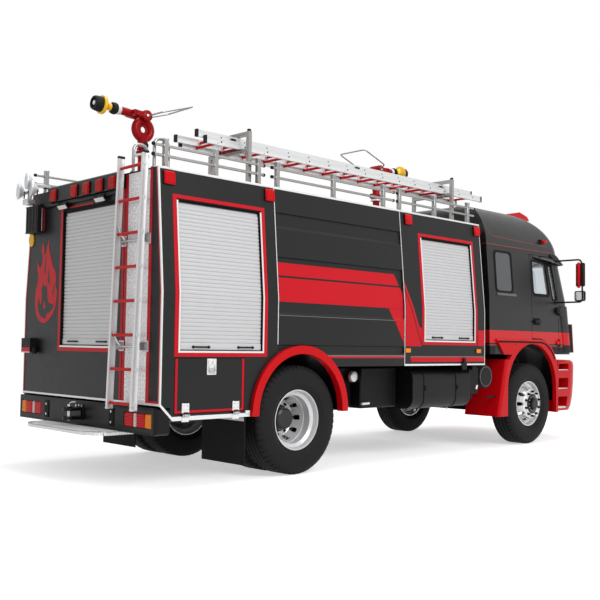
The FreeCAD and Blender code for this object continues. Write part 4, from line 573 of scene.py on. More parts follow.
def lamps():
    lean = atan((BODY_HALF - ROOF_HALF) / (ROOF_Z - BELT_Z))
    for name, side in SIDES:
        p = Piece("side_lamps_" + name, side)
        for x in (-1577, -385, 1760, 3120):
            place = Matrix.Translation((x, body_side(2735), 2735)) @ Matrix.Rotation(lean, 4, "X")
            square_lamp(p, place, red_lens)
        for x in (1668, 3048):
            p.place = turned(x, BODY_HALF, 1236, 0)
            p.box(-48, 48, -1, 6, -27, 27, plastic, 2)
            p.box(-44, 44, 5, 16, -24, 24, amber_lens, 4)
        p.done("chassis", ["lamps"])
    p = Piece("header_lamps")
    for y in (568, 161, -66, -305, -529):
        square_lamp(p, turned(REAR_X - 66, y, 2748, 90), red_lens_dim, 26)
    p.done("chassis", ["lamps"])
    for name, side in SIDES:
        p = Piece("tail_lamp_" + name, side)
        x0, z0, z1 = -1727, 540, 664
        p.box(-1708, -1691, 757, 1183, 539, 665, deep_black)
        for y0, y1, kind in ((762, 905, red_lens), (909, 950, white_lens), (954, 1083, red_lens),
                             (1087, 1178, amber_lens)):
            p.box(x0 + 6, -1704, y0, y1, z0, z1, kind, 6)
            for i in range(6):
                z = z0 + 10 + i * 18.5
                p.box(x0 + 1, x0 + 8, y0 + 6, y1 - 6, z, z + 13, kind, 3)
        p.done("chassis", ["lamps"])


def side_trim(name, side):
    p = Piece("side_trim_" + name, side)
    # Silver edges
    p.skin(rect(REAR_X - 1, REAR_X + 13, 736, ROOF_Z), silver, 4, 6)
    for x in (SEAM_1_X, SEAM_2_X - 8, FRONT_X - 8):
        low = 1282 if x == SEAM_1_X else 1063
        p.skin(rect(x - 4, x + 4, low, ROOF_Z), silver, 4, 6)
    p.box(REAR_X, FRONT_X, ROOF_HALF - 8, ROOF_HALF + 7, ROOF_Z - 16, ROOF_Z + 5, silver, 3)
    p.box(SEAM_2_X - 12, FRONT_X, BODY_HALF - 2, BODY_HALF + 5, 1063, 1084, silver)
    p.skin([(REAR_X, 736), (-1549, 605), (-1549, 634), (REAR_X, 765)], silver, 5, 7)
    p.box(-1549, -662, BODY_HALF - 2, BODY_HALF + 5, 605, 642, silver)
    p.box(-722, -668, BODY_HALF - 2, BODY_HALF + 12, 636, 664, silver)
    # Tank bands
    edge = SEAM_1_X + 6
    for outline in ([(edge, 1958), (1548, 1958), (1470, 2085), (edge, 2085)],
                    [(edge, 1700), (1606, 1700), (1606, 1880), (1560, 1938), (edge, 1938)],
                    [(1355, 1697), (1608, 1697), (1608, 1307)]):
        p.skin(outline, red_film, 1.6, 2.6, tank_side)
    p.skin(rect(edge, 1480, 1563, 1569), grey_film, 1.2, 2.2, tank_side)
    p.skin(rect(372, 1610, 1150, 1168), red_film)
    p.skin(rect(372, 1610, 1168, 1182), grey_film)
    # Front module
    p.skin([(1634, 1284), (1922, 1284), (1642, 1892), (1634, 1892)], red_film)
    p.skin([(1634, 1936), (1634, 2010), (1882, 1500), (1924, 1500), (1924, 1330), (1912, 1336)], red_film)
    p.skin(rect(3046, 3182, 1301, 1491), red_film)
    p.skin([(1724, 1137), (1744, 1108), (3160, 1108), (3181, 1137), (3181, 1160), (1724, 1160)], red_film)
    p.skin(rect(1724, 3181, 1161, 1172), grey_film)
    p.done("chassis")
    # Flap outline, latch and straps
    p = Piece("flap_trim_" + name, side)
    for part in (rect(-1527, -1502, 669, 1146), rect(-765, -740, 669, 1146), rect(-1502, -765, 669, 690)):
        p.skin(part, red_film)
    y = BODY_HALF
    p.box(-1180, -1074, y - 1, y + 7, 1000, 1146, silver, 3)
    p.box(-1168, -1086, y + 6, y + 15, 1090, 1136, silver, 4)
    p.box(-1166, -1088, y + 6, y + 12, 1012, 1062, bright_steel, 4)
    p.tube([(-1160, y + 8, 1082), (-1160, y + 20, 1030), (-1094, y + 20, 1030), (-1094, y + 8, 1082)], 4.5,
           bright_steel, 8, 8)
    p.lathe([(10, 0), (10, 4), (7, 7)], (-1127, y + 12, 1112), LEFT, bright_steel, 16)
    hinges = (-1412, -839)
    for x in hinges:
        p.box(x - 40, x + 40, y - 1, y + 11.5, 669, 757, silver, 4)
        for dx, z in ((-18, 700), (18, 700), (-18, 735), (18, 735)):
            p.lathe([(7, 0), (6, 3), (3, 4.5)], (x + dx, y + 11, z), LEFT, bright_steel, 10)
        p.lathe([(10.4, -23), (10.4, 23)], (x, y + 15, 650), AHEAD, bright_steel, 16)
    p.done("flap_" + name)
    p = Piece("flap_hinges_" + name, side)
    for x in hinges:
        for s in (1, -1):
            p.lathe([(10.4, 29), (10.4, 40)], (x, y + 15, 650), (s, 0, 0), bright_steel, 16)
        p.box(x - 40, x + 40, y + 4, y + 9, 592, 636, silver, 3)
    p.done("chassis")


FLAME = ((0.46, 0), (((0.10, 0), (0.02, 0.17)), ((-0.04, 0.30), (0.03, 0.42)), ((0.14, 0.52), (0.10, 0.60)),
                       ((0.02, 0.66), (0.07, 0.76)), ((0.12, 0.68), (0.20, 0.66)),
                       ((0.36, 0.74), (0.26, 0.84)),
                       ((0.20, 0.90), (0.30, 0.97)), ((0.40, 0.90), (0.36, 0.82)),
                       ((0.46, 0.80), (0.48, 0.88)),
                       ((0.50, 0.95), (0.60, 1)), ((0.53, 0.90), (0.66, 0.80)), ((0.76, 0.71), (0.78, 0.66)),
                       ((0.96, 0.62), (0.93, 0.48)), ((0.92, 0.42), (1, 0.38)), ((0.99, 0.16), (0.80, 0.09)),
                       ((0.60, 0.01), (0.46, 0))))
FLAME_HOLLOWS = (
    ((0.42, 0.06), (((0.12, 0.08), (0.13, 0.22)), ((0.12, 0.26), (0.16, 0.30)), ((0.22, 0.24), (0.26, 0.22)),
                    ((0.34, 0.30), (0.28, 0.38)), ((0.30, 0.44), (0.37, 0.48)), ((0.40, 0.42), (0.52, 0.45)),
                    ((0.56, 0.36), (0.56, 0.30)), ((0.62, 0.23), (0.72, 0.23)), ((0.84, 0.20), (0.88, 0.24)),
                    ((0.84, 0.14), (0.64, 0.12)), ((0.54, 0.11), (0.50, 0.06)),
                    ((0.46, 0.04), (0.42, 0.06)))),
    ((0.60, 0.46), (((0.52, 0.54), (0.62, 0.66)), ((0.60, 0.56), (0.66, 0.50)),
    ((0.63, 0.46), (0.60, 0.46)))),
    ((0.40, 0.60), (((0.38, 0.68), (0.46, 0.80)), ((0.44, 0.68), (0.46, 0.60)),
    ((0.43, 0.58), (0.40, 0.60)))),
    ((0.78, 0.34), (((0.80, 0.42), (0.90, 0.46)), ((0.84, 0.38), (0.84, 0.33)),
    ((0.80, 0.32), (0.78, 0.34)))))
FLAME_TONGUE = ((0.42, 0.17), (((0.34, 0.22), (0.46, 0.27)), ((0.42, 0.22), (0.50, 0.20)),
        ((0.46, 0.16), (0.42, 0.17))))


def rear_trim():
    p = Piece("rear_trim")
    face = REAR_X
    p.box(face - 5, face + 1, -BODY_HALF, BODY_HALF, 736, 757, silver)
    p.box(face - 3, face + 1, -608, -640, 757, 2690, red_film, 0.6)
    p.box(face - 3, face + 1, -652, -694, 757, 2812, red_film, 0.6)
    p.box(face - 4, face + 1, -697, -1032, 757, 2812, plate_base, 1)
    for s in (1, -1):
        for ya, yb, kind in ((14, 26, red_film), (1, 9, silver)):
            outline = [(s * (BODY_HALF - ya), 757), (s * (BODY_HALF - yb), 757),
                    (s * (BODY_HALF - yb), BELT_Z),
                       (s * (ROOF_HALF - yb), ROOF_Z), (s * (ROOF_HALF - ya), ROOF_Z),
                       (s * (BODY_HALF - ya), BELT_Z)]
            p.prism(outline, 0, face - 3, face + 1, kind)
    p.prism([(-1035, 757), (-1080, 757), (-1080, BELT_Z), (-1072, ROOF_Z - 8), (-1035, ROOF_Z - 8)], 0,
            face - 3, face + 1, red_film)
    p.box(face - 4, face + 1, -1080, -1218, 757, 776, red_film, 0.6)
    # Raised bars of the tread plate
    step = 38
    for row in range(53):
        for column in range(9):
            p.place = turned(face - 4, -1014 + column * step, 780 + row * step,
                             45 if (row + column) % 2 else -45, "X")
            p.box(-2.2, 1, -3.8, 3.8, -16, 16, plate_bar, 2)
    p.place = Matrix.Identity(4)
    p.done("chassis")
    # Flame on the left of the rear face
    p = Piece("rear_flame")
    for lift, kind, shapes in ((2, red_film, (FLAME,)), (2.6, charcoal, FLAME_HOLLOWS),
                               (3.2, red_film, (FLAME_TONGUE,))):
        for start, curves in shapes:
            outline = [(1026 - 454 * u, 1467 + 863 * v) for u, v in path_outline(start, curves)]
            p.prism(outline, 0, face - lift, face + 0.6, kind)
    p.done("chassis")
    p = Piece("rear_fittings")
    for y in (440, -260):
        p.prism([(face, 2672), (face - 46, 2668), (face - 56, 2640), (face - 34, 2612), (face, 2630)], 1,
                y - 84, y + 84, charcoal, 3)
        p.prism([(face - 54, 2640), (face - 59, 2636), (face - 36, 2604), (face - 31, 2609)], 1, y - 80,
                y + 80,
                white_lens, 1)
    p.box(face - 30, face + 1, -520, 900, 2652, 2690, charcoal, 8)
    p.box(face - 12, face + 1, -100, 352, 2606, 2618, red_film, 1)
    p.prism([(1140 + 54 * c, 2352 + 76 * s) for c, s in circle(28)], 0, face - 12, face + 1, yellow_lens, 6)
    # Corner boxes: ribbed case, its red edge and caps
    for y in (880, 946, 1012, 1078):
        p.box(face - 94, face - 88, y, y + 22, 2424, 2664, plastic, 3)
    p.box(face - 40, face - 4, 855, 859, 2416, 2660, red_dark, 1)
    p.box(face - 46, face - 42, 855, 859, 2416, 2660, silver, 1)
    p.box(face - 96, face - 1, 852, 1118, 2404, 2414, plastic, 3)
    p.box(face - 96, face - 1, 852, 1118, 2672, 2684, plastic, 4)
    p.box(face - 60, face - 10, 870, 960, 2684, 2700, deep_black, 4)
    p.box(face - 83, face - 79, 964, 1146, 1172, 1214, red_film)
    p.box(face - 83, face - 79, 964, 1146, 1160, 1171, white_lens)
    p.done("chassis")


def rivet(p, place, axis, material=deep_black, radius=7):
    p.lathe([(radius, -1), (radius, 1.5), (radius * 0.55, 3.2)], place, axis, material, 10)


def stile(p, start, end, width, depth, material, caps=True):
    """A box-section stile in the xz plane, with a sunk web on its outer faces and end caps."""
    start, end = Vector(start), Vector(end)
    along = (end - start).normalized()
    across = Vector(LEFT)
    out = along.cross(across)
    half_w, half_d = width / 2, depth / 2
    section = [(-half_w, -half_d), (half_w, -half_d), (half_w, -half_d + 9), (half_w - 2.5, -half_d + 13),
               (half_w - 2.5, half_d - 13), (half_w, half_d - 9), (half_w, half_d), (-half_w, half_d),
               (-half_w, half_d - 9), (-half_w + 2.5, half_d - 13), (-half_w + 2.5, -half_d + 13),
               (-half_w, -half_d + 9)]
    p.loft([[at + across * u + out * v for u, v in section] for at in (start, end)], material)
    if caps:
        for at, s in ((start, -1), (end, 1)):
            ring = [(-half_w - 2, -half_d - 2), (half_w + 2, -half_d - 2), (half_w + 2, half_d + 2),
                    (-half_w - 2, half_d + 2)]
            p.loft([[at + along * s * a + across * u * f + out * v * f for u, v in ring]
                    for a, f in ((-16, 1), (6, 1), (11, 0.86))], plastic)


def rear_ladder():
    p = Piece("rear_ladder_dressed")
    (xb, zb), (xt, zt) = (-1802, 690), (-1740, 2975)
    ys = (-1025, -640)
    slope = (xt - xb) / (zt - zb)
    for y in ys:
        stile(p, (xb, y, zb), (xt, y, zt - 12), 26, 62, ladder_metal, False)
        p.box(xt - 34, xt + 34, y - 15, y + 15, zt - 24, zt, plastic, 4)
        p.box(xb - 34, xb + 34, y - 15, y + 15, zb - 3, zb + 16, ladder_metal, 3)
    pitch = (zt - 115 - 741) / 7
    for index in range(8):
        z = 741 + index * pitch
        x = xb + (z - zb) * slope
        p.tube([(x, ys[0] + 11, z), (x, ys[1] - 11, z)], 14.5, red, 16)
        for y, s in ((ys[0] - 10, -1), (ys[1] + 10, 1)):
            rivet(p, (x, y, z), (0, s, 0), deep_black, 14)
        for y in ys:
            p.lathe([(18, -16), (18, -13), (15, -12)], (x, y, z), (0, 1 if y < -800 else -1, 0),
                    ladder_metal, 14)
    for z in (1250, 2200):
        x = xb + (z - zb) * slope
        for y in ys:
            p.box(x + 20, REAR_X - 1, y - 14, y + 14, z - 36, z + 36, bright_steel, 4)
            p.box(REAR_X - 9, REAR_X - 4, y - 42, y + 42, z - 48, z + 48, bright_steel, 2)
            for dy, dz in ((-28, -32), (28, -32), (-28, 32), (28, 32)):
                rivet(p, (REAR_X - 9, y + dy, z + dz), BACK, bright_steel)
        p.tube([(x + 44, ys[0] + 10, z - 6), (x + 44, ys[1] - 10, z - 6)], 11, bright_steel, 12)
        p.box(x + 26, x + 62, -1000, -940, z - 26, z + 22, deep_black, 5)
        p.tube([(x + 44, -700, z), (x + 10, -680, z + 60), (x - 6, -668, z + 128)], 9, bright_steel, 10, 20)
    p.done("chassis", ["rear_ladder"])


def roof_ladder():
    z = 3198.3 + 35
    for label, (x0, x1), half, at in (("outer", (-980, 3610), 200, z),
            ("inner", (-1060, 3430), 168, z + 49.3)):
        p = Piece("roof_ladder_" + label)
        count = int((x1 - x0 - 300) // 300) + 1
        first = (x0 + x1 - (count - 1) * 300) / 2
        for s in (1, -1):
            y = -690 + s * half
            stile(p, (x0, y, at), (x1, y, at), 26, 70, ladder_metal)
            for index in range(count):
                x = first + index * 300
                rivet(p, (x, y + s * 11, at), (0, s, 0), deep_black, 8)
                p.box(x - 22, x + 22, y - s * 13, y - s * 17, at - 24, at + 24, ladder_metal, 2)
            for index in range(int((x1 - x0) // 600)):
                rivet(p, (x0 + 150 + index * 600, y + s * 11, at - 20), (0, s, 0), deep_black, 4)
        for index in range(count):
            x = first + index * 300
            p.tube([(x, -690 - half + 11, at), (x, -690 + half - 11, at)], 14.2, red, 14)
        if label == "outer":
            for x in (-620, 1200, 2760):
                for s in (1, -1):
                    y = -690 + s * (half - 9)
                    p.box(x - 30, x + 30, y - 10, y + 10, at + 36, at + 62, plastic, 4)
        p.done("chassis", ["roof_ladder"])


def roof_gear():
    p = Piece("roof_fittings")
    sections = ((-1700, -395, (-1570, -1000, -469)), (-290, 1590, (-218, 594, 1406)),
                (1655, 3180, (1689, 2350, 3031)))
    for s in (1, -1):
        y = s * 1085
        for x0, x1, posts in sections:
            for z in (2943, 3035):
                for x in (x0, x1):
                    p.lathe([(17, -12), (17, 6), (12, 12)], (x, y, z), (1 if x == x1 else -1, 0, 0),
                            plastic, 14)
                for x in posts:
                    p.lathe([(19, -27), (21, -24), (21, 24), (19, 27)], (x, y, z), AHEAD, stainless, 16)
            for x in posts:
                p.box(x - 22, x + 22, y - 22, y + 22, 2838, 3090, stainless, 4)
                p.box(x - 25, x + 25, y - 25, y + 25, 3084, 3099, bright_steel, 3)
                p.box(x - 44, x + 44, y - 34, y + 34, 2834, 2842, stainless, 2)
                for dx in (-34, 34):
                    rivet(p, (x + dx, y, 2842), UP, bright_steel, 6)
    for x in (-540, 2790):
        for y in (-1022, -430):
            p.box(x - 46, x + 46, y - 46, y + 46, 2834, 2844, stainless, 2)
        p.box(x - 21, x + 21, -930, -450, 3186, 3199, plastic, 3)
        p.box(x - 14, x + 14, -640, -608, 3318, 3366, plastic, 4)
        p.lathe([(18, 0), (20, 8), (20, 22), (12, 26)], (x, -1022, 3361), UP, plastic, 18)
    for y in (-1030, -700):
        for x in (-1650, -1500):
            p.lathe([(28, 0), (28, 5), (17, 9)], (x, y, 2834.6), UP, stainless, 18)
    # Hatch over the tank
    p.lathe([(260, 0), (260, 14), (252, 22), (120, 26), (116, 30), (20, 32)], (250, 330, 2834), UP, plate, 48)
    p.tube([(130, 330, 2858), (130, 330, 2905), (370, 330, 2905), (370, 330, 2858)], 8, stainless, 10, 20)
    for c, s in circle(8):
        rivet(p, (250 + 226 * c, 330 + 226 * s, 2856), UP, bright_steel, 10)
    # Straps over the stowage pad
    for x in (850, 1250):
        p.box(x - 18, x + 18, 196, 904, 2842, 2845, rubber, 1)
    p.done("chassis")


def monitor(label, x, direction):
    """The elevating half: yoke, barrel in its finishes, and the loop handle."""
    z = 3580
    p = Piece("monitor_gun_" + label)
    base = turned(x, 0, z, 0 if direction > 0 else 180)
    p.place = base @ turned(0, 0, 0, -3.5, "Y")
    for s in (1, -1):
        p.lathe([(52, 0.6), (57, 4), (57, 21), (48, 25.6)], (0, s * 62.5, 0), (0, s, 0), red_deep, 28)
        p.lathe([(16, 0), (16, 8), (10, 11)], (0, s * 86, 0), (0, s, 0), bright_steel, 6)
        p.prism([(20, -24), (150, -24), (150, 30), (20, 30)], 1, s * 63, s * 88, red_deep, 5)
    p.box(122, 165, -88, 88, -24, 30, red_deep, 8)
    along = AHEAD
    p.lathe([(34, 128), (40, 148), (41, 176), (41, 276), (34, 280)], (0, 0, 0), along, red_deep, 32)
    p.lathe([(34, 276), (48, 280), (50, 285), (50, 314), (46, 319), (34, 321)], (0, 0, 0), along, silver, 32)
    p.lathe([(34, 318), (54, 322), (60, 338), (60, 352), (56, 373), (46, 381), (40, 386), (30, 388)],
            (0, 0, 0),
            along, plastic, 32)
    p.lathe([(30, 384), (37, 388), (36, 418), (44, 434), (60, 449), (78, 459), (90, 464), (92, 469),
            (92, 495),
             (88, 499), (60, 501)], (0, 0, 0), along, yellow, 48)
    p.bolts(20, 88, (467, 0, 0), along, [(5, 0), (5, 28)], yellow, 8)
    p.lathe([(50, 497), (76, 501), (77, 508), (75, 540), (72, 566), (66, 579), (50, 580), (46, 560),
            (20, 552)],
            (0, 0, 0), along, plastic, 40)
    p.lathe([(20, 548), (24, 556), (22, 574), (12, 578)], (0, 0, 0), along, silver, 24)
    p.place = base @ turned(0, 0, 0, 19, "Y")
    path = [(-30, 77, 0), (-90, 215, 0), (-500, 215, 0), (-500, -215, 0), (-90, -215, 0), (-30, -77, 0)]
    p.tube(path, 9, stainless, 12, 40)
    p.done("monitor_barrel_" + label, ["monitor_barrel_" + label])
    # Fittings on the swivelling half
    p = Piece("monitor_fittings_" + label)
    p.place = base
    p.bolts(8, 60, (0, 0, -361), UP, [(6, 0), (6, 6), (4, 8)], bright_steel, 6, 0.5)
    p.lathe([(54, -344), (58, -340), (58, -326), (53, -322)], (0, 0, 0), UP, red_deep, 28)
    p.tube([(20, 46, -320), (50, 80, -320), (50, 120, -320)], 6, bright_steel, 10, 12)
    p.lathe([(8, 0), (34, 4), (36, 10), (34, 16), (8, 18)], (50, 118, -320), LEFT, plastic, 24)
    p.done("monitor_swivel_" + label)
    p = Piece("monitor_flange_" + label)
    p.place = turned(x, 0, 0, 0)
    p.lathe([(68, 3170), (73, 3172), (73, 3189), (69, 3191)], (0, 0, 0), UP, silver, 40)
    p.lathe([(45, 2870), (45, 3171)], (0, 0, 0), UP, red_deep, 36)
    p.lathe([(119, 2835), (121, 2838), (121, 2852), (90, 2860), (46, 2884)], (0, 0, 0), UP, red_deep, 40)
    p.bolts(8, 104, (0, 0, 2853), UP, [(9, 0), (9, 8), (5, 10)], bright_steel)
    p.done("chassis")


def light_mast():
    p = Piece("light_mast_dressed")
    p.tube([(-1600, 1005, 1405), (-1600, 1005, 2905)], 32, stainless, 24)
    p.lathe([(32, 0), (37, 2), (37, 16), (32, 18)], (-1600, 1005, 2884), UP, plastic, 24)
    p.box(-1795, -1568, 965, 1045, 2893, 2924, bright_steel, 5)
    p.box(-1795, -1762, 868, 1158, 2820, 2850, bright_steel, 4)
    p.box(-1795, -1762, 1015, 1055, 2700, 2914, bright_steel, 4)
    p.box(-1825, -1732, 995, 1105, 2700, 2760, bright_steel, 8)
    back = Vector((-0.961, 0.276, 0))
    for y, z in ((1155, 2850), (975, 2938), (870, 2852)):
        at = Vector((-1787, y, z))
        p.lathe([(14, -14), (20, -8), (22, 0), (40, 3), (56, 14), (72, 32), (82, 48), (84, 53), (84, 61),
                (80, 65),
                 (74, 66)], at, back, lamp_shell, 40)
        p.lathe([(78, 57), (76, 63), (54, 66), (18, 67)], at, back, clear_lens, 40)
        p.tube([at + Vector((4, 0, -70)), at + Vector((10, 0, -6))], 7, plastic, 10)
    p.done("light_mast", ["light_mast"])


def tyre(name, centre_x, centre_y, side, body, node):
    """A tyre with shoulder lugs, four zigzag grooves and ribbed sidewalls."""
    p = Piece(name, side)
    wall = [(286, 108), (298.9, 112), (303, 121), (316, 129), (322, 133), (330, 136), (345, 144), (352, 149),
            (356, 152), (362, 153), (405, 155.4), (440, 155.6), (446, 154), (470, 154), (488, 149)]
    shoulder = [(502, 141, 5), (517, 131, 8), (530, 119, 10), (537.5, 107, 10)]
    grooves = (78, 27, -27, -78)
    tread = []
    for at in grooves:
        tread += [(538, at + 8, 0), (526, at + 5, 0), (526, at - 5, 0), (538, at - 8, 0)]
    across = [(r, a, 0, 0) for r, a in wall] + [(r, a, cut, 0) for r, a, cut in shoulder]
    across += [(r, a, 0, 1) for r, a, cut in tread]
    across += [(r, -a, cut, 0) for r, a, cut in reversed(shoulder)] + [(r, -a, 0, 0) for r,
            a in reversed(wall)]
    lugs, rings = 54, []
    for lug in range(lugs):
        for share, cut, shift in ((0, 0, -4), (0.42, 0, 4), (0.74, 0, 4), (0.79, 1, 2), (0.95, 1, -4)):
            t = 2 * pi * (lug + share) / lugs
            ring = []
            for r, a, deep, zig in across:
                radius = r - deep * cut
                along = a + zig * shift
                ring.append((centre_x + radius * cos(t), centre_y + along, AXLE_Z + radius * sin(t)))
            rings.append(ring)
    p.loft(rings, tyre_rubber, True)
    p.done(body, [node], 32)


def wheel_fittings(name, side, centre_x, face_y, cap_y, cap_radius, body):
    """Wheel nuts, the hub's ring of bolts and its cap."""
    p = Piece("wheel_fittings_" + name, side)
    centre = (centre_x, face_y, AXLE_Z)
    p.bolts(10, 163, centre, LEFT, [(19, 0), (19, 4), (15, 5), (15, 25), (11, 28)], plastic, 6, 0.5)
    p.bolts(10, 163, centre, LEFT, [(9, 26), (8, 36)], plastic, 10, 0.5)
    p.bolts(12, cap_radius + 16, (centre_x, cap_y, AXLE_Z), LEFT, [(8, -14), (8, 5), (5, 7)], bright_steel)
    p.lathe([(150, 0.5), (150, 4), (141, 7)], centre, LEFT, wheel_silver, 48)
    p.tube([(centre_x + 262, face_y - 64, AXLE_Z), (centre_x + 246, face_y - 40, AXLE_Z)], 5, bright_steel, 8)
    p.done(body)


def wheels():
    for name, side in SIDES:
        tyre("tyre_front_" + name, WHEELBASE, 1010, side, "front_wheel_" + name, "front_tyre_" + name)
        for label, y in (("outer", 1076), ("inner", 726)):
            tyre("tyre_rear_%s_%s" % (label, name), 0, y, side, "rear_wheel_" + name, "rear_tyres_" + name)
        wheel_fittings("front_" + name, side, WHEELBASE, 1185, 1200, 80, "front_wheel_" + name)
        wheel_fittings("rear_" + name, side, 0, 901, 930, 94, "rear_wheel_" + name)


def rear_step():
    """Step plate with raised collars, each holding a black disc as painted shade for its hole, and a toothed
    edge.
    """
    p = Piece("rear_step_dressed")
    x0, x1, half, inset, top = -1990, -1572, 690, 240, 483.7
    outline = [(x1, -half), (x0 + 144, -half), (x0 + 60, -half + 60), (x0 + 8, -half + 170),
            (x0, -half + inset),
               (x0, half - inset), (x0 + 8, half - 170), (x0 + 60, half - 60), (x0 + 144, half), (x1, half)]
    p.prism(outline, 2, top - 5, top, silver)
    for (xa, ya), (xb, yb) in zip(outline, outline[1:]):
        count = max(1, int(hypot(xb - xa, yb - ya) // 30))
        out = Vector((yb - ya, xa - xb)).normalized() * 5
        for k in range(count):
            a, b = k / count, (k + 0.84) / count
            first = Vector((xa + (xb - xa) * a, ya + (yb - ya) * a))
            last = Vector((xa + (xb - xa) * b, ya + (yb - ya) * b))
            p.prism([tuple(q) for q in (first, last, last + out, first + out)], 2, top - 32, top - 1, silver)
    for row in range(9):
        for column in range(33):
            x = x0 + 34 + row * 40
            y = -half + 40 + (column + 0.5 * (row % 2)) * 40
            if abs(y) > half - 30 or (x < x0 + 130 and abs(y) > half - inset + (x - x0) * 1.1):
                continue
            p.lathe([(16, 0), (15, 3.5), (10, 4), (9.5, 1.2)], (x, y, top), UP, silver, 12)
            # A black disc in each collar: painted shade for the hole.
            p.lathe([(9.4, 0.3), (9.3, 0.7)], (x, y, top), UP, deep_black, 12)
    p.done("chassis", ["rear_step"])


def bumper_fittings():
    p = Piece("rear_bumper_fittings")
    x = -1722
    p.box(x - 8, x + 2, -74, 74, 540, 690, tank_black, 6)
    for y, z in ((-52, 672), (52, 672), (-52, 560), (52, 560), (0, 676)):
        p.lathe([(12, 0), (12, 7), (6, 9)], (x - 8, y, z), BACK, bright_steel, 6)
    p.lathe([(20, 0), (20, 8), (26, 12)], (-1835, 0, 657), UP, tank_black, 20)
    p.tube([(-1835, 0, 540), (-1835, 0, 690)], 18, bright_steel, 18)
    p.tube([(-1835, -3, 690), (-1835, -30, 712), (-1800, -52, 712)], 7, bright_steel, 10, 16)
    for y in (-560, 640):
        p.box(x - 6, x + 2, y - 42, y + 42, 520, 690, deep_black, 5)
        for z in (556, 654):
            p.lathe([(13, 0), (13, 7), (7, 9)], (x - 6, y, z), BACK, bright_steel, 6)
    p.box(x - 4, x + 10, -1180, 1180, 700, 716, tank_black, 5)
    p.box(x - 4, x + 10, -1180, 1180, 487, 503, tank_black, 5)
    p.done("chassis")


def cab_section(z):
    """The cab's half width and front at a height."""
    if z <= 1950:
        t = (z - 1200) / 750
        return 1190 - 10 * t, 5650 - 115 * t
    t = (z - 1950) / 665
    return 1180 - 50 * t, 5535 - 185 * t


def plan_point(share, z, grow):
    """A point on the cab's front outline at a height: share runs from the right side round to the left."""
    half, front = cab_section(z)
    half, front, corner = half + grow, front + grow, 230
    corner_x = front - 70
    if share < 0.2:
        return Vector((corner_x - corner - (0.2 - share) / 0.2 * 700, -half, z))
    if share < 0.35:
        a = (share - 0.2) / 0.15 * pi / 2
        return Vector((corner_x - corner + corner * sin(a), -half + corner - corner * cos(a), z))
    if share <= 0.65:
        u = (share - 0.5) / 0.15
        y = u * (half - corner)
        return Vector((front - 70 * u * u, y, z))
    mirror = plan_point(1 - share, z, grow)
    return Vector((mirror.x, -mirror.y, z))


def cab_wrap(p, share0, share1, z0, z1, out0, out1, thick, material, steps=36, bulge=0):
    """A panel that wraps round the cab's front between two heights."""
    rings = []
    for i in range(steps + 1):
        share = share0 + (share1 - share0) * i / steps
        outer, inner = [], []
        for k in range(5):
            t = k / 4
            z = z0 + (z1 - z0) * t
            grow = out0 + (out1 - out0) * t + bulge * sin(pi * t)
            outer.append(plan_point(share, z, grow))
            inner.append(plan_point(share, z, grow - thick))
        rings.append(outer + inner[::-1])
    p.loft(rings, material)


def loop_outline(corners, radius, steps=5):
    """A closed outline with rounded corners."""
    out = []
    count = len(corners)
    for i in range(count):
        before, corner, after = (Vector(corners[(i + k) % count]) for k in (-1, 0, 1))
        start = corner + (before - corner).normalized() * radius
        end = corner + (after - corner).normalized() * radius
        for k in range(steps + 1):
            t = k / steps
            out.append(start * (1 - t) ** 2 + corner * 2 * t * (1 - t) + end * t * t)
    return out


def cab_side_y(z):
    return cab_section(z)[0]


def bumper_front(y, z):
    """The front bumper's face: bowed from above, tucked in below."""
    tuck = 0
    for (za, ta), (zb, tb) in (((410, 60), (470, 36)), ((470, 36), (600, 16)), ((600, 16), (800, 4)),
                               ((800, 4), (1045, 0))):
        if za <= z <= zb:
            tuck = ta + (tb - ta) * (z - za) / (zb - za)
    return 5800 - tuck - 70 * (y / 870) ** 2


def bumper_panel(p, y0, y1, z0, z1, lift, material, steps=12):
    """A thin panel that follows the front bumper's face."""
    rings = []
    for k in range(steps + 1):
        y = y0 + (y1 - y0) * k / steps
        outer = [(min(bumper_front(y, z) + lift, 5799.6), y, z) for z in (z0, (z0 + z1) / 2, z1)]
        inner = [(bumper_front(y, z) - 4, y, z) for z in (z1, (z0 + z1) / 2, z0)]
        rings.append(outer + inner)
    p.loft(rings, material)


def grown(corners, by):
    """A window's corners moved out by a distance."""
    middle_x = sum(x for x, z in corners) / len(corners)
    return [(x + copysign(1, x - middle_x) * by, z + copysign(1, z - 2200) * by) for x, z in corners]


def window_seal(p, corners, width, lift, depth, radius):
    """A rubber seal that follows a window's outline on the cab's side."""
    outer = loop_outline(corners, radius)
    middle = Vector((sum(c[0] for c in corners) / len(corners), sum(c[1] for c in corners) / len(corners)))
    rings = []
    for point in outer:
        inward = (middle - point).normalized()
        inner = point + Vector((copysign(width, inward.x), copysign(width, inward.y)))
        ring = []
        for q, dy in ((point, -depth), (point, lift), (inner, lift), (inner, -depth)):
            ring.append((q.x, cab_side_y(q.y) + dy, q.y))
        rings.append(ring)
    p.loft(rings, rubber, True)


SIDE_WINDOW = ((3560, 2010), (3950, 2010), (3940, 2535), (3560, 2535))
DOOR_WINDOW = ((4455, 2020), (4875, 2020), (4805, 2478), (4455, 2478))
QUARTER_WINDOW = ((4935, 1960), (5070, 1960), (4970, 2440), (4865, 2440))


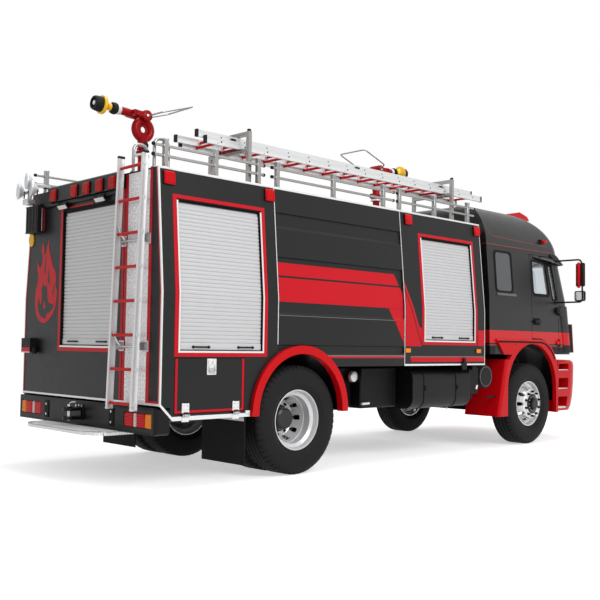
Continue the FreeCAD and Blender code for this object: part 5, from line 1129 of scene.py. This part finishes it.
def cab():
    for name, side in SIDES:
        p = Piece("cab_side_trim_" + name, side)
        window_seal(p, grown(SIDE_WINDOW, 14), 26, 7, 12, 60)
        outline = loop_outline(grown(SIDE_WINDOW, -6), 46)
        p.loft([[(q.x, cab_side_y(q.y) - sunk, q.y) for q in outline] for sunk in (9, 2)], side_glass)
        y = cab_side_y(1985)
        p.prism([(y - 2, 1956), (y + 13, 1962), (y + 10, 1990), (y - 2, 1996)], 0, 3568, 4014, ledge, 6)
        p.box(3398, 3514, cab_side_y(1210) - 4, cab_side_y(1210) + 5, 1203, 1300, plastic, 5)
        p.tube([(3405, cab_side_y(2613), 2613), (4950, cab_side_y(2613), 2613)], 4, red_dark, 8)
        # Marker lamp on the roof's side
        p.prism([(1092, 2736), (1128, 2738), (1132, 2790), (1086, 2796)], 0, 4722, 4822, plastic, 5)
        p.prism([(1126, 2740), (1172, 2744), (1176, 2780), (1130, 2788)], 0, 4738, 4812, red_lens, 8)
        # Black tube that follows the fender's crown: a painted shadow line between the cab and the fender
        crown = [(3552, 1215, 1362), (4560, 1215, 1362)]
        crown += [(4560 + 442 * sin(t), 1215, 920 + 442 * cos(t)) for t in
                  (radians(6 * k) for k in range(1, 11))]
        p.tube(crown, 11, deep_black, 8)
        p.done("chassis")

        p = Piece("door_trim_" + name, side)
        window_seal(p, grown(DOOR_WINDOW, 13), 22, 6, 14, 40)
        corners = [(x + (-12 if x < 4930 else 12), z + (-12 if z < 2200 else 12)) for x, z in QUARTER_WINDOW]
        window_seal(p, corners, 18, 6, 14, 30)
        y = cab_side_y(1640)
        p.box(4434, 4606, y - 2, y + 3, 1596, 1692, deep_black, 4)
        p.prism([(y + 2, 1616), (y + 34, 1624), (y + 34, 1662), (y + 2, 1670)], 0, 4446, 4594, plastic, 5)
        p.lathe([(14, 0), (14, 5), (9, 7)], (4626, y, 1642), LEFT, bright_steel, 16)
        p.box(4940, 5094, cab_side_y(1212) - 3, cab_side_y(1212) + 5, 1214, 1296, plastic, 5)
        p.lathe([(44, -2), (48, 8), (46, 30), (30, 44), (12, 48)], (5062, cab_side_y(1812), 1812), LEFT,
                plastic, 28)
        p.box(4470, 4862, cab_side_y(2006) - 2, cab_side_y(2006) + 8, 1988, 2006, rubber, 4)
        p.done("door_" + name)

        p = Piece("visor_" + name, side)
        y0 = cab_side_y(2500)
        p.loft([[(x, y0 + a, z - 24) for a,
                z in ((-2, 2572), (4, 2576), (out, 2530 - drop), (out - 6, 2524 - drop))]
                for x, out, drop in ((4500, 6, -30), (4620, 60, -4), (4780, 92, 16), (4930, 100, 34),
                (5060, 92, 48))],
               visor_mesh)
        for k in range(5):
            t = 0.1 + 0.2 * k
            p.tube([(4600, y0 + 40 * t + 8, 2552 - 36 * t), (5056, y0 + 88 * t + 4, 2550 - 78 * t)], 3.6,
                    deep_black, 6)
        p.done("door_" + name)

    p = Piece("cab_front_trim")
    cab_wrap(p, 0.165, 0.835, 2470, 2600, 60, 10, 8, plastic, 48)
    for z0, z1, grow in ((1330, 1352, 20), (1880, 1900, 18)):
        cab_wrap(p, 0.30, 0.70, z0, z1, grow, grow, 10, silver, 30)
    for k in range(5):
        z = 1412 + k * 90
        cab_wrap(p, 0.37, 0.63, z, z + 26, 22, 16, 10, silver, 24, 3)
    for share0, share1 in ((0.17, 0.31), (0.69, 0.83)):
        for z0, z1, kind in ((1225, 1332, plastic), (1332, 1506, red), (1506, 1880, charcoal)):
            cab_wrap(p, share0, share1, z0, z1, 13, 13, 12, kind, 12)
    for share0, share1 in ((0.262, 0.335), (0.665, 0.738)):
        cab_wrap(p, share0, share1, 1228, 1632, 34, 44, 30, charcoal, 10)
        cab_wrap(p, share0, share1, 1232, 1626, 36, 46, 8, red_dark, 10)
    for share in (0.262, 0.738):
        p.tube([plan_point(share, z, 36 + (z - 1228) / 40) for z in (1228, 1400, 1632)], 9, red_dark, 10)
    for share0, share1 in ((0.136, 0.17), (0.83, 0.864)):
        cab_wrap(p, share0, share1, 1214, 1296, 5, 5, 8, plastic, 4)
    cab_wrap(p, 0.36, 0.64, 1946, 1984, 24, 16, 12, plastic, 24)
    for y in (-520, 60, 560):
        p.tube([(5542, y, 1968), (5518, y + 250, 2110), (5470, y + 430, 2260)], 8, plastic, 10, 60)
        p.tube([(5530, y + 40, 2090), (5450, y + 420, 2400)], 6, plastic, 8)
        p.lathe([(26, 0), (26, 16), (14, 24)], (5528, y, 1968), (1, 0, 0.1), plastic, 20)
    for share in (0.30, 0.70):
        c = plan_point(share, 1560, 12)
        p.lathe([(52, 0), (52, 8), (40, 14)], c, (c.x - 5000, c.y, 0), amber_lens, 28)
    p.done("chassis")

    p = Piece("headlamp_fittings")
    for s in (1, -1):
        ends = (s * 676, s * 974)
        for z0, z1 in ((786, 800), (950, 964)):
            bumper_panel(p, *ends, z0, z1, 2.5, plastic)
        for y in (s * 683, s * 967):
            bumper_panel(p, y - 7, y + 7, 800, 950, 2.5, plastic, 2)
        bumper_panel(p, s * 700, s * 960, 490, 570, 3, deep_black)
        at = (bumper_front(s * 830, 530) - 3, s * 830, 530)
        p.lathe([(34, 0), (38, 6), (34, 10)], at, AHEAD, clear_lens, 28)
    bumper_panel(p, -620, 620, 690, 800, 3, deep_black, 20)
    bumper_panel(p, -560, 560, 480, 600, 4, deep_black, 20)
    for k in range(3):
        bumper_panel(p, -540, 540, 496 + k * 36, 512 + k * 36, 9, plastic, 20)
    bumper_panel(p, -260, 260, 620, 670, 5, plastic, 6)
    p.done("chassis")

    for name, side in SIDES:
        p = Piece("step_treads_" + name, side)
        for level, edge in ((460, 1168), (720, 1198), (980, 1207)):
            p.box(5076, 5334, 1050, edge, level - 1, level + 6, silver, 2)
            p.box(5074, 5336, edge - 6, edge + 1, level - 14, level + 8, silver, 3)
            for k in range(12):
                x = 5086 + k * 20.6
                p.box(x, x + 11, 1060, edge - 10, level + 5, level + 9, silver, 1.5)
        p.done("chassis")


def mirror(name, side):
    p = Piece("mirror_dressed_" + name, side)
    p.tube([(5030, 1168, 1925), (5030, 1590, 1925), (5000, 1590, 2505), (5000, 1112, 2505)], 12, plastic,
            12, 60)
    for x, z in ((5030, 1925), (5000, 2505)):
        p.lathe([(30, -4), (30, 10), (18, 20)], (x, cab_side_y(z) - 4, z), LEFT, plastic, 20)
    # Upper head: a rounded red case, its glass turned to the driver
    p.place = turned(5052, 1516, 0, 63)
    rings = []
    for t, half, deep in ((0, 40, 16), (0.04, 60, 30), (0.12, 70, 40), (0.5, 78, 47), (0.85, 82, 50),
            (0.95, 74, 40),
                          (1, 50, 20)):
        rings.append([(deep * c * (1 if c > 0 else 0.6), half * s, 2120 + 350 * t) for c, s in circle(28)])
    p.loft(rings, red)
    p.prism(loop_outline([(-66, 2142), (66, 2142), (70, 2448), (-70, 2448)], 26), 0, -32, -20, plastic, 2)
    p.prism(loop_outline([(-57, 2152), (57, 2152), (61, 2438), (-61, 2438)], 22), 0, -34, -30, mirror_face, 1)
    p.place = Matrix.Identity(4)
    for z in (2200, 2400):
        x = 5030 - 30 * (z - 1925) / 580
        p.tube([(x, 1590, z), (5052, 1536, z)], 7, plastic, 8)
        p.box(x - 14, x + 14, 1576, 1606, z - 20, z + 20, plastic, 4)
    p.box(4996, 5052, 1572, 1624, 2136, 2462, plastic, 14)
    # Lower head: a square black frame with its glass to the rear
    p.place = turned(5052, 1540, 0, -10)
    p.prism(loop_outline(rect(-72, 72, 1938, 2078), 26), 0, -24, 28, plastic, 8)
    p.prism(loop_outline(rect(-57, 57, 1952, 2064), 20), 0, -27, -20, mirror_face, 1)
    p.done("door_" + name, ["mirror_" + name])


def cushion(name, centre, size, tilt=0):
    """A crowned pad with its corners drawn in and piping round its upper seam."""
    p = Piece(name)
    p.place = turned(*centre, tilt, "Y")
    half = [s / 2 for s in size]
    rows = 14
    edge = [[copysign(abs(w) ** 0.32, w) for w in pair] for pair in circle(40)]
    rings = []
    for i in range(1, rows):
        phi = -pi / 2 + pi * i / rows
        level = copysign(abs(sin(phi)) ** 0.45, phi)
        spread = abs(cos(phi)) ** 0.28
        ring = []
        for u, v in edge:
            crown = 1 + 0.12 * (level > 0.3) * (1 - abs(u * v) * spread)
            channel = 1 - 0.05 * (level > 0.6) * (cos(v * half[1] / 26) > 0.75)
            ring.append((half[0] * u * spread, half[1] * v * spread,
                    half[2] * level * crown * channel * 0.88))
        rings.append(ring)
    p.loft(rings, fabric)
    p.tube([(half[0] * 0.99 * u, half[1] * 0.99 * v, half[2] * 0.42) for u, v in edge + edge[:1]], 4.5,
            piping, 6)
    thing = p.done("chassis", ["seats"], 60)


def seats():
    for name, y in (("left", 720), ("right", -720)):
        cushion("seat_pad_" + name, (4620, y, 1765), (430, 480, 130))
        cushion("seat_back_" + name, (4350, y, 2130), (110, 470, 640), -11)
        p = Piece("seat_base_" + name)
        p.box(4480, 4780, y - 150, y + 150, 1401, 1700, plastic, 12)
        p.box(4430, 4800, y - 200, y + 200, 1680, 1708, bright_steel, 4)
        p.done("chassis", ["seats"])
    for index, y in enumerate((-660, 0, 660)):
        cushion("bench_pad_%d" % index, (3790, y, 1765), (400, 640, 125))
        cushion("bench_back_%d" % index, (3545, y, 2080), (105, 640, 580), -4)
    p = Piece("bench_base")
    p.box(3570, 3900, -940, 940, 1561, 1700, plastic, 10)
    p.done("chassis", ["seats"])


def underbody():
    p = Piece("underbody_fittings")
    # Filler cap by the rear wheel, right side
    p.lathe([(52, 0), (58, 4), (58, 40), (52, 46), (30, 50)], (1122, -900, 940), RIGHT, silver, 32)
    p.lathe([(66, -6), (66, 10), (60, 12)], (1122, -900, 940), RIGHT, red_dark, 32)
    p.tube([(1122, -900, 940), (1122, -460, 940)], 48, chassis_black, 20)
    p.tube([(1180, -1000, 640), (1300, -1000, 644)], 14, silver, 16)
    for z in (760, 860):
        p.tube([(720, -700, z), (1800, -700, z)], 14, chassis_black, 10)
    p.box(1180, 1800, -980, -470, 588, 1040, chassis_black, 14)
    p.box(700, 1160, -860, -470, 600, 1040, chassis_black, 14)
    # Bracket and grip between the tank and the filter
    p.box(3010, 3100, -1190, -1150, 1000, 1060, chassis_black, 6)
    p.box(2690, 2790, -1268, -1243, 1010, 1096, chassis_black, 6)
    p.box(2714, 2766, -1272, -1250, 1084, 1156, chassis_black, 8)
    p.tube([(3100, -1100, 640), (3100, -1100, 1056)], 18, chassis_black, 12)
    p.box(3010, 3236, -1130, -560, 700, 1040, chassis_black, 14)
    p.lathe([(15, 0), (15, 50), (10, 54)], (3172, -1132, 760), (0.4, 0, 1), silver, 16)
    p.box(3380, 3604, -1152, -1124, 648, 670, chassis_black, 5)
    # Filter end cap, its grey ring a painted highlight on the rim
    p.lathe([(146, 0), (148, 8), (146, 24), (138, 30)], (3390, -1104, 915), RIGHT, plastic, 48)
    p.lathe([(130, 28), (127, 32), (120, 32), (117, 28)], (3390, -1104, 915), RIGHT, filter_rim_highlight, 48)
    p.lathe([(112, 28), (108, 33), (50, 34), (20, 34)], (3390, -1104, 915), RIGHT, tank_black, 40)
    # Air tanks on the left
    for z in (690, 900):
        p.lathe([(40, 0), (100, 14), (112, 40), (112, 560), (100, 586), (40, 600)], (1150, 760, z), AHEAD,
                chassis_black, 36)
        for x in (1260, 1640):
            p.lathe([(115, 0), (115, 26)], (x, 760, z), AHEAD, bright_steel, 36)
    # Bolts of the fuel tank's bands and its cap
    for x in (2077, 2701):
        p.lathe([(10, 0), (10, 26)], (x, -1030, 554), DOWN, bright_steel, 6)
        p.box(x - 16, x + 16, -1192, -1184, 770, 830, deep_black, 4)
    p.lathe([(46, 0), (52, 4), (52, 22), (44, 30), (16, 32)], (1990, -1010, 1029), (0, -0.3, 1),
            chassis_black, 28)
    p.done("chassis")
    p = Piece("mudflap_fittings")
    for s in (1, -1):
        p.box(-712, -690, s * 600, s * 1215, 560, 600, bright_steel, 3)
    p.done("chassis")


for name, side in SIDES:
    side_shutter("rear", -1483, -516, 1215, 2550, name, side)
    side_shutter("front", 1990, 2970, 1355, 2547, name, side)
    side_trim(name, side)
    mirror(name, side)
rear_shutter()
lamps()
rear_trim()
rear_ladder()
roof_ladder()
roof_gear()
monitor("rear", -1090, -1)
monitor("front", 2540, 1)
light_mast()
wheels()
rear_step()
bumper_fittings()
cab()
seats()
underbody()

# Floor, light and camera
floor_mesh = bpy.data.meshes.new("floor")
reach = 60
floor_mesh.from_pydata([(-reach, -reach, 0), (reach, -reach, 0), (reach, reach, 0), (-reach, reach, 0)],
        [], [(0, 1, 2, 3)])
floor = bpy.data.objects.new("floor", floor_mesh)
bpy.context.collection.objects.link(floor)


def seen_directly(tree):
    """1 for the camera, and in what glass and gloss show of the background."""
    rays = tree.nodes.new("ShaderNodeLightPath")
    total = maths(tree, "ADD", rays.outputs["Is Camera Ray"], rays.outputs["Is Transmission Ray"])
    return maths(tree, "MINIMUM", maths(tree, "ADD", total, rays.outputs["Is Glossy Ray"]), 1)


floor_paint = finish("floor", (0.80, 0.80, 0.80), 0.9, spread=0.01)
floor_tree = floor_paint.node_tree
floor_shader = floor_tree.nodes["Principled BSDF"]
floor_shader.inputs["Emission Color"].default_value = (1, 1, 1, 1)
floor_tree.links.new(maths(floor_tree, "MULTIPLY", seen_directly(floor_tree), 0.50),
        floor_shader.inputs["Emission Strength"])
floor_mesh.materials.append(floor_paint)

world = bpy.data.worlds.new("studio")
bpy.context.scene.world = world
world.use_nodes = True
nodes, links = world.node_tree.nodes, world.node_tree.links
strength = maths(world.node_tree, "MULTIPLY_ADD", seen_directly(world.node_tree), 0.40, 0.60)
background = nodes["Background"]
background.inputs["Color"].default_value = (1, 1, 1, 1)
links.new(strength, background.inputs["Strength"])


def lamp(name, place, aim, size, power):
    light = bpy.data.lights.new(name, "AREA")
    light.shape = "DISK"
    light.size = size
    light.energy = power
    thing = bpy.data.objects.new(name, light)
    thing.location = place
    thing.rotation_euler = (Vector(aim) - Vector(place)).to_track_quat("-Z", "Y").to_euler()
    bpy.context.collection.objects.link(thing)


lamp("key", (-2, -12, 9), (0, 0, 1.4), 7, 980)
lamp("top", (0, 0, 13), (0, 0, 1), 9, 620)

# The camera fitted to the photo: lens in pixels, place from the rear axle in metres, turn in degrees
IMAGE_PX, FOCAL_PX, SENSOR_MM = 600, 870.37, 36
EYE_X, EYE_Y, EYE_Z = -6.0366, -7.4360, 1.2824
YAW, ROLL = 45.860, 0.842
camera_data = bpy.data.cameras.new("camera")
camera_data.sensor_fit = "HORIZONTAL"
camera_data.sensor_width = SENSOR_MM
camera_data.lens = FOCAL_PX / IMAGE_PX * SENSOR_MM
camera = bpy.data.objects.new("camera", camera_data)
yaw, roll = radians(YAW), radians(ROLL)
ahead = Vector((0.69549, 0.71670, 0.05134)).normalized()
right = Vector((sin(yaw), -cos(yaw), 0))
up = right.cross(ahead)
side_axis = right * cos(roll) + up * sin(roll)
top_axis = -right * sin(roll) + up * cos(roll)
turn = Matrix((side_axis, top_axis, -ahead)).transposed().to_4x4()
camera.matrix_world = Matrix.Translation((EYE_X - MIDDLE_X / 1000, EYE_Y, EYE_Z)) @ turn
bpy.context.collection.objects.link(camera)
bpy.context.scene.camera = camera
bpy.context.scene.view_settings.view_transform = "Standard"
